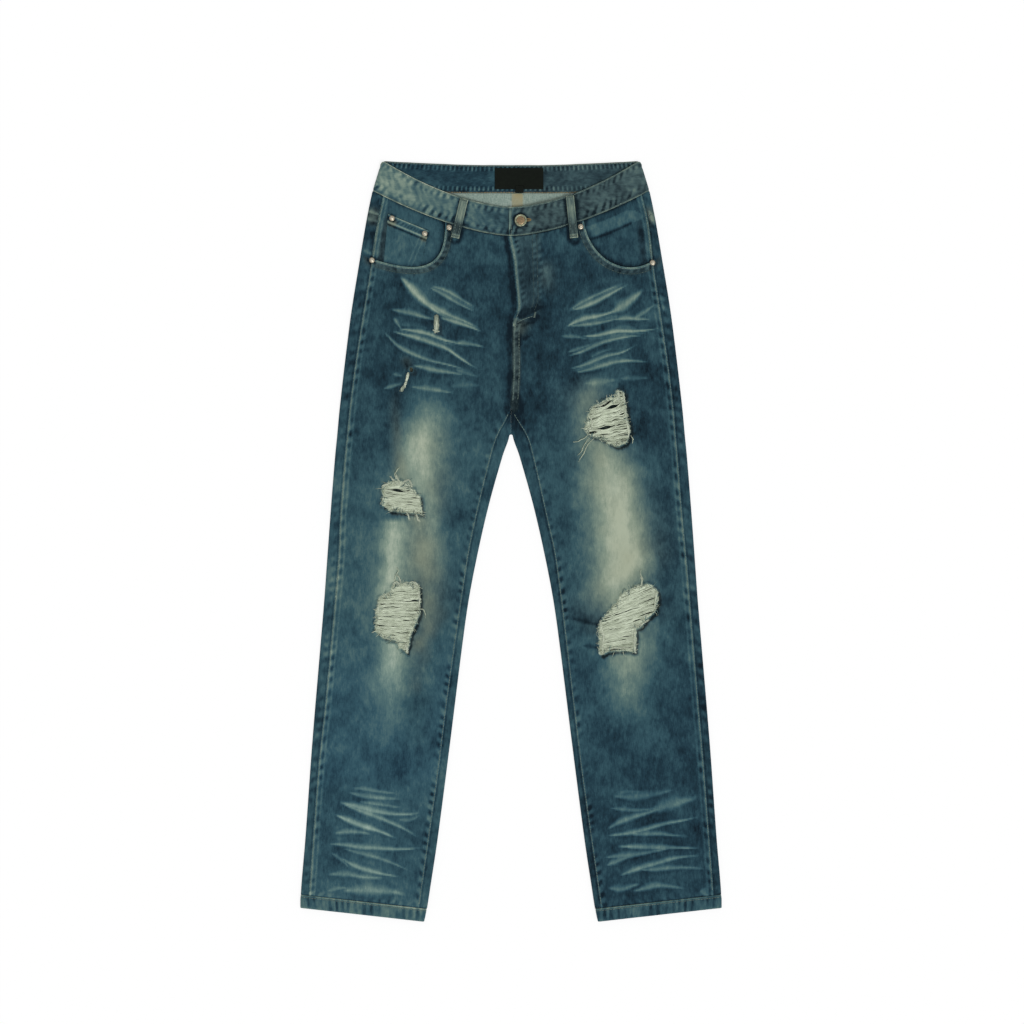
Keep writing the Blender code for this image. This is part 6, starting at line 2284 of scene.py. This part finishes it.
def looseYarns(name):
    lines = []
    for k, points in enumerate(looseThreads[name]):
        path = resampled(np.array(points, float) * 0.001, 0.0012)
        steps = np.linspace(0, 1, 18)
        for strand in range(2):
            x, y = pointsAt(path, steps * measured(path)[-1]).T
            x = x + 0.0009 * softNoise(steps * 0.03, steps * 0 + k * 0.02, 0.006, 105 + strand)
            y = y + 0.0009 * softNoise(steps * 0.03, steps * 0 + k * 0.02, 0.006, 107 + strand)
            lines.append(columns(x, y, 0.0006 + 0.0008 * np.sin(steps * 3.0) + 0.0004 * strand))
    return laidOn(lines, name)


def yarnRadii(lines, size, taper):
    steps = np.linspace(0, 1, lines[0].shape[0])
    ends = 1 - taper * smooth(np.abs(steps - 0.5) * 2 * 1.3 - 0.3)
    dice = np.random.default_rng(len(lines))
    return size * ends[None, :] * dice.uniform(0.8, 1.2, (len(lines), 1))


def buildYarns(name):
    torn, pale, blue = ([], []), ([], []), ([], [])
    for rip in ripSides[name]:
        if rip in tears:
            for held, found in zip((torn, pale, blue), (tearYarns(rip, name), *frayYarns(rip, name))):
                held[0].extend(found[0])
                held[1].extend(found[1])
    tufts, loose = tuftYarns(name), looseYarns(name)
    kinds = {  # lines and tones, radius, taper, material and sides
        "torn_yarns": (torn, yarn["radius"], 0.25, rawYarn, 5),
        "frayed_ends": (pale, 0.00029, 0.6, rawYarn, 4),
        "indigo_ends": (blue, 0.00036, 0.6, indigoYarn, 4),
        "tufts": (tufts, 0.00030, 0.6, whiteYarn, 4),
        "loose_threads": ((loose, [0.5] * len(loose)), 0.00036, 0.5, rawYarn, 5),
    }
    made = []
    for kind, ((lines, tones), size, taper, material, count) in kinds.items():
        radii = yarnRadii(lines, size, taper)
        made.append(tubes(kind + "_" + name, lines, radii, material, count, np.clip(tones, 0, 1)))
    return made


# button and rivets

def buildTurned(name, facts, place, z, material, tilt):  # a turned cap, a little knocked out of true
    spots, faces, rings = [], [], []
    for reach, height in facts["profile"]:
        radius = reach * facts["radius"]
        count = facts["sides"] if radius else 1
        rings.append(range(len(spots), len(spots) + count))
        for i in range(count):
            turn = 2 * math.pi * i / facts["sides"]
            dent = 1 + 0.012 * math.sin(3 * turn + 1.1) + 0.008 * math.sin(5 * turn + place[0] * 900)
            x, y = radius * dent * math.cos(turn), radius * dent * math.sin(turn)
            spots.append((place[0] + x, place[1] + y, z + height + tilt * x))
    for one, two in zip(rings, rings[1:]):
        for i in range(facts["sides"]):
            corners = [ring[j % len(ring)] for ring, j in ((one, i), (one, i + 1), (two, i + 1), (two, i))]
            faces.append(list(dict.fromkeys(corners)))
    reach = np.linalg.norm(np.array(spots)[:, :2] - place, axis=1) / facts["radius"]
    return newPiece(name, spots, faces, material, {"rim": smooth((reach - 0.62) / 0.16)}, 40)


# making every piece

made = {}
for name, side in sides.items():
    made["front_" + name] = buildFront(name, side)
    made["back_" + name] = buildBack(name, side)
    made["yoke_" + name] = buildYoke(name, side)
    made["pocket_facing_" + name] = buildFacing(name, side)
    made["back_pocket_" + name] = buildBackPocket(name, side)
    sewFront(name, side)
    print("panels of the", name, "side made")
made["coin_pocket"] = buildCoinPocket()
for name, side in sides.items():
    made["hem_" + name], outer, out, shares = buildHem(name, side)
    j = stitchColumn(shares, shape["hemDepth"], hem["stitchIn"])
    sew("hems", closedLoop(outer[:, j]), closedLoop(out[:, j]), tone=0.55)
bandParts = buildBand()
made["waistband"] = bandParts[0]
sewBand(*bandParts[1:])
sewFly()
sewBack()
print("waistband and hems made")

loopEnds = {}
for name, (top, foot) in loopPlaces["front"].items():
    low = float(bandHeight(top[0], name == "left")) + cloth["gap"] + cloth["loopWall"]
    arch = [low + loopPlaces["arch"] * math.sin(math.pi * i / 12) for i in range(13)]
    loopEnds["front_" + name] = buildLoop("front_" + name, top, foot, arch, 1)
for name, x in loopPlaces["backX"].items():
    top, foot = (x, loopPlaces["backHigh"]), (x, loopPlaces["backLow"])
    loopEnds["back_" + name] = buildLoop("back_" + name, top, foot, [cloth["loopWall"]] * 3, -1)
for name, parts in loopEnds.items():
    made["belt_loop_" + name] = parts[0]
    if name.startswith("front"):
        outer = parts[1]
        for j in (int(outer.shape[1] * 0.27), int(outer.shape[1] * 0.73)):
            sew("loops", outer[3:-3, j], radius=0.00034)
        for row in (2, -3):
            spot = outer[row, outer.shape[1] // 2]
            crossway = (-parts[3][1], parts[3][0])
            barTack("loops", spot[:2], crossway, 0.0095, 0.0022, spot[2] + 0.0001, 14)

onBand = float(backLift(label["x"], 0.5137)) + cloth["bandWall"] + 0.0004
made["label"] = buildTag("woven_label", label, onBand)
made["size_tab"] = buildTag("woven_size_tab", sizeTab, onBand + cloth["thinWall"] + cloth["gap"])
print("loops and tags made")

yarns = {name: buildYarns(name) for name in sides}
high = float(bandHeight(button["place"][0], True)) + 0.0003
made["button"] = buildTurned("shank_button", button, button["place"], high, agedCopper, 0.03)
for key, place in rivet["places"].items():
    z = float(frontLevel(np.array(place[0]), np.array(place[1]))) + 0.0004
    made["rivet_" + key] = buildTurned("rivet_cap_" + key, rivet, place, z, rivetMetal, 0.02)
print("yarns, button and rivets made")

stitchPieces = {group: buildThreads(group, paleThread) for group in threads if group != "band_inside"}
stitchPieces["band_inside"] = buildThreads("band_inside", tanThread)
sewEyelet()

for node, piece in made.items():
    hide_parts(node)
print("pieces stand for", len(made), "nodes")

cuts = {  # width, length and area of each cut piece as it shows, in metres
    "front": (0.262, 0.980, 0.1740),
    "back": (0.330, 1.000, 0.2240),
    "yoke": (0.208, 0.085, 0.0119),
    "pocket_facing": (0.118, 0.114, 0.0091),
    "back_pocket": (0.145, 0.152, 0.0193),
    "coin_pocket": (0.064, 0.074, 0.0036),
    "hem": (0.019, 0.388, None),
    "waistband": (0.041, 0.866, None),
    "belt_loop_front": (0.0115, 0.058, None),
    "belt_loop_back": (0.0115, 0.050, None),
    "label": (0.069, 0.030, None),
    "size_tab": (0.0115, 0.0102, None),
}
restsOn = {"front": "back", "coin_pocket": "pocket_facing", "belt_loop": "waistband", "label": "waistband"}
for node, piece in made.items():
    kind = max((key for key in cuts if node.startswith(key)), key=len, default="")
    if not kind:
        continue
    under = [value for key, value in restsOn.items() if node.startswith(key)]
    under = [made.get(key) or made[key + "_" + node.split("_")[-1]] for key in under if kind != "coin_pocket"]
    if kind == "front":
        name = node.split("_")[-1]

# floor, light and camera

studio = {
    "floorSize": 12.0,
    "floorTone": (252, 252, 252),
    "ambient": 0.62,
    "sun": 1.55,
    "sunAngle": math.radians(22),
    "sunTurn": (math.radians(34), 0.0, math.radians(28)),
    "viewWidth": 1.454,
    "lens": 85.0,
    "sensor": 36.0,
    "aim": (0.0014, 0.0410, 0.006),
}


def whiteSeen(tree, plain, share=1.0):  # white to the camera and in reflections, plain otherwise
    path = addNode(tree, "ShaderNodeLightPath").outputs
    seen = mathNode(tree, "MAXIMUM", path["Is Camera Ray"], path["Is Glossy Ray"])
    seen = mathNode(tree, "MAXIMUM", seen, path["Is Transmission Ray"])
    kind = "Emission" if plain.type == "BSDF_PRINCIPLED" else "Background"
    white = addNode(tree, "ShaderNode" + kind, {"Color": (1, 1, 1, 1), "Strength": 1.0})
    values = {0: times(tree, seen, share), 1: plain.outputs[0], 2: white.outputs[0]}
    return {"Surface": addNode(tree, "ShaderNodeMixShader", values).outputs[0]}


world = bpy.data.worlds.new("studioWorld")
bpy.context.scene.world = world
world.use_nodes = True
tree = world.node_tree
ambient = tree.nodes["Background"]
setInputs(tree, ambient, {"Color": (1, 1, 1, 1), "Strength": studio["ambient"]})
setInputs(tree, tree.nodes["World Output"], whiteSeen(tree, ambient))

sun = bpy.data.lights.new("softLamp", "SUN")
sun.energy, sun.angle = studio["sun"], studio["sunAngle"]
newObject("softLamp", sun).rotation_euler = studio["sunTurn"]

size = studio["floorSize"]
floorMesh = bpy.data.meshes.new("paleFloor")
corners = [(-size, -size, 0), (size, -size, 0), (size, size, 0), (-size, size, 0)]
floorMesh.from_pydata(corners, [], [(0, 1, 2, 3)])
floorMaterial, tree, shader = newMaterial("paleFloor")
setInputs(tree, shader, {"Base Color": colour(*studio["floorTone"]), "Roughness": 0.9})
setInputs(tree, tree.nodes["Material Output"], whiteSeen(tree, shader, 0.8))
floorMesh.materials.append(floorMaterial)
floor = newObject("paleFloor", floorMesh)
floor.location.z = cadLow.z - 0.0002
floor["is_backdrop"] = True

lens = bpy.data.cameras.new("overhead")
lens.lens, lens.sensor_width = studio["lens"], studio["sensor"]
lens.clip_end = 50
eye = newObject("overhead", lens)
aimX, aimY, aimZ = studio["aim"]
eye.location = (aimX, aimY, aimZ + studio["viewWidth"] * studio["lens"] / studio["sensor"])
bpy.context.scene.camera = eye
bpy.context.scene.view_settings.view_transform = "Standard"
print("light and camera placed")

low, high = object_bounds()
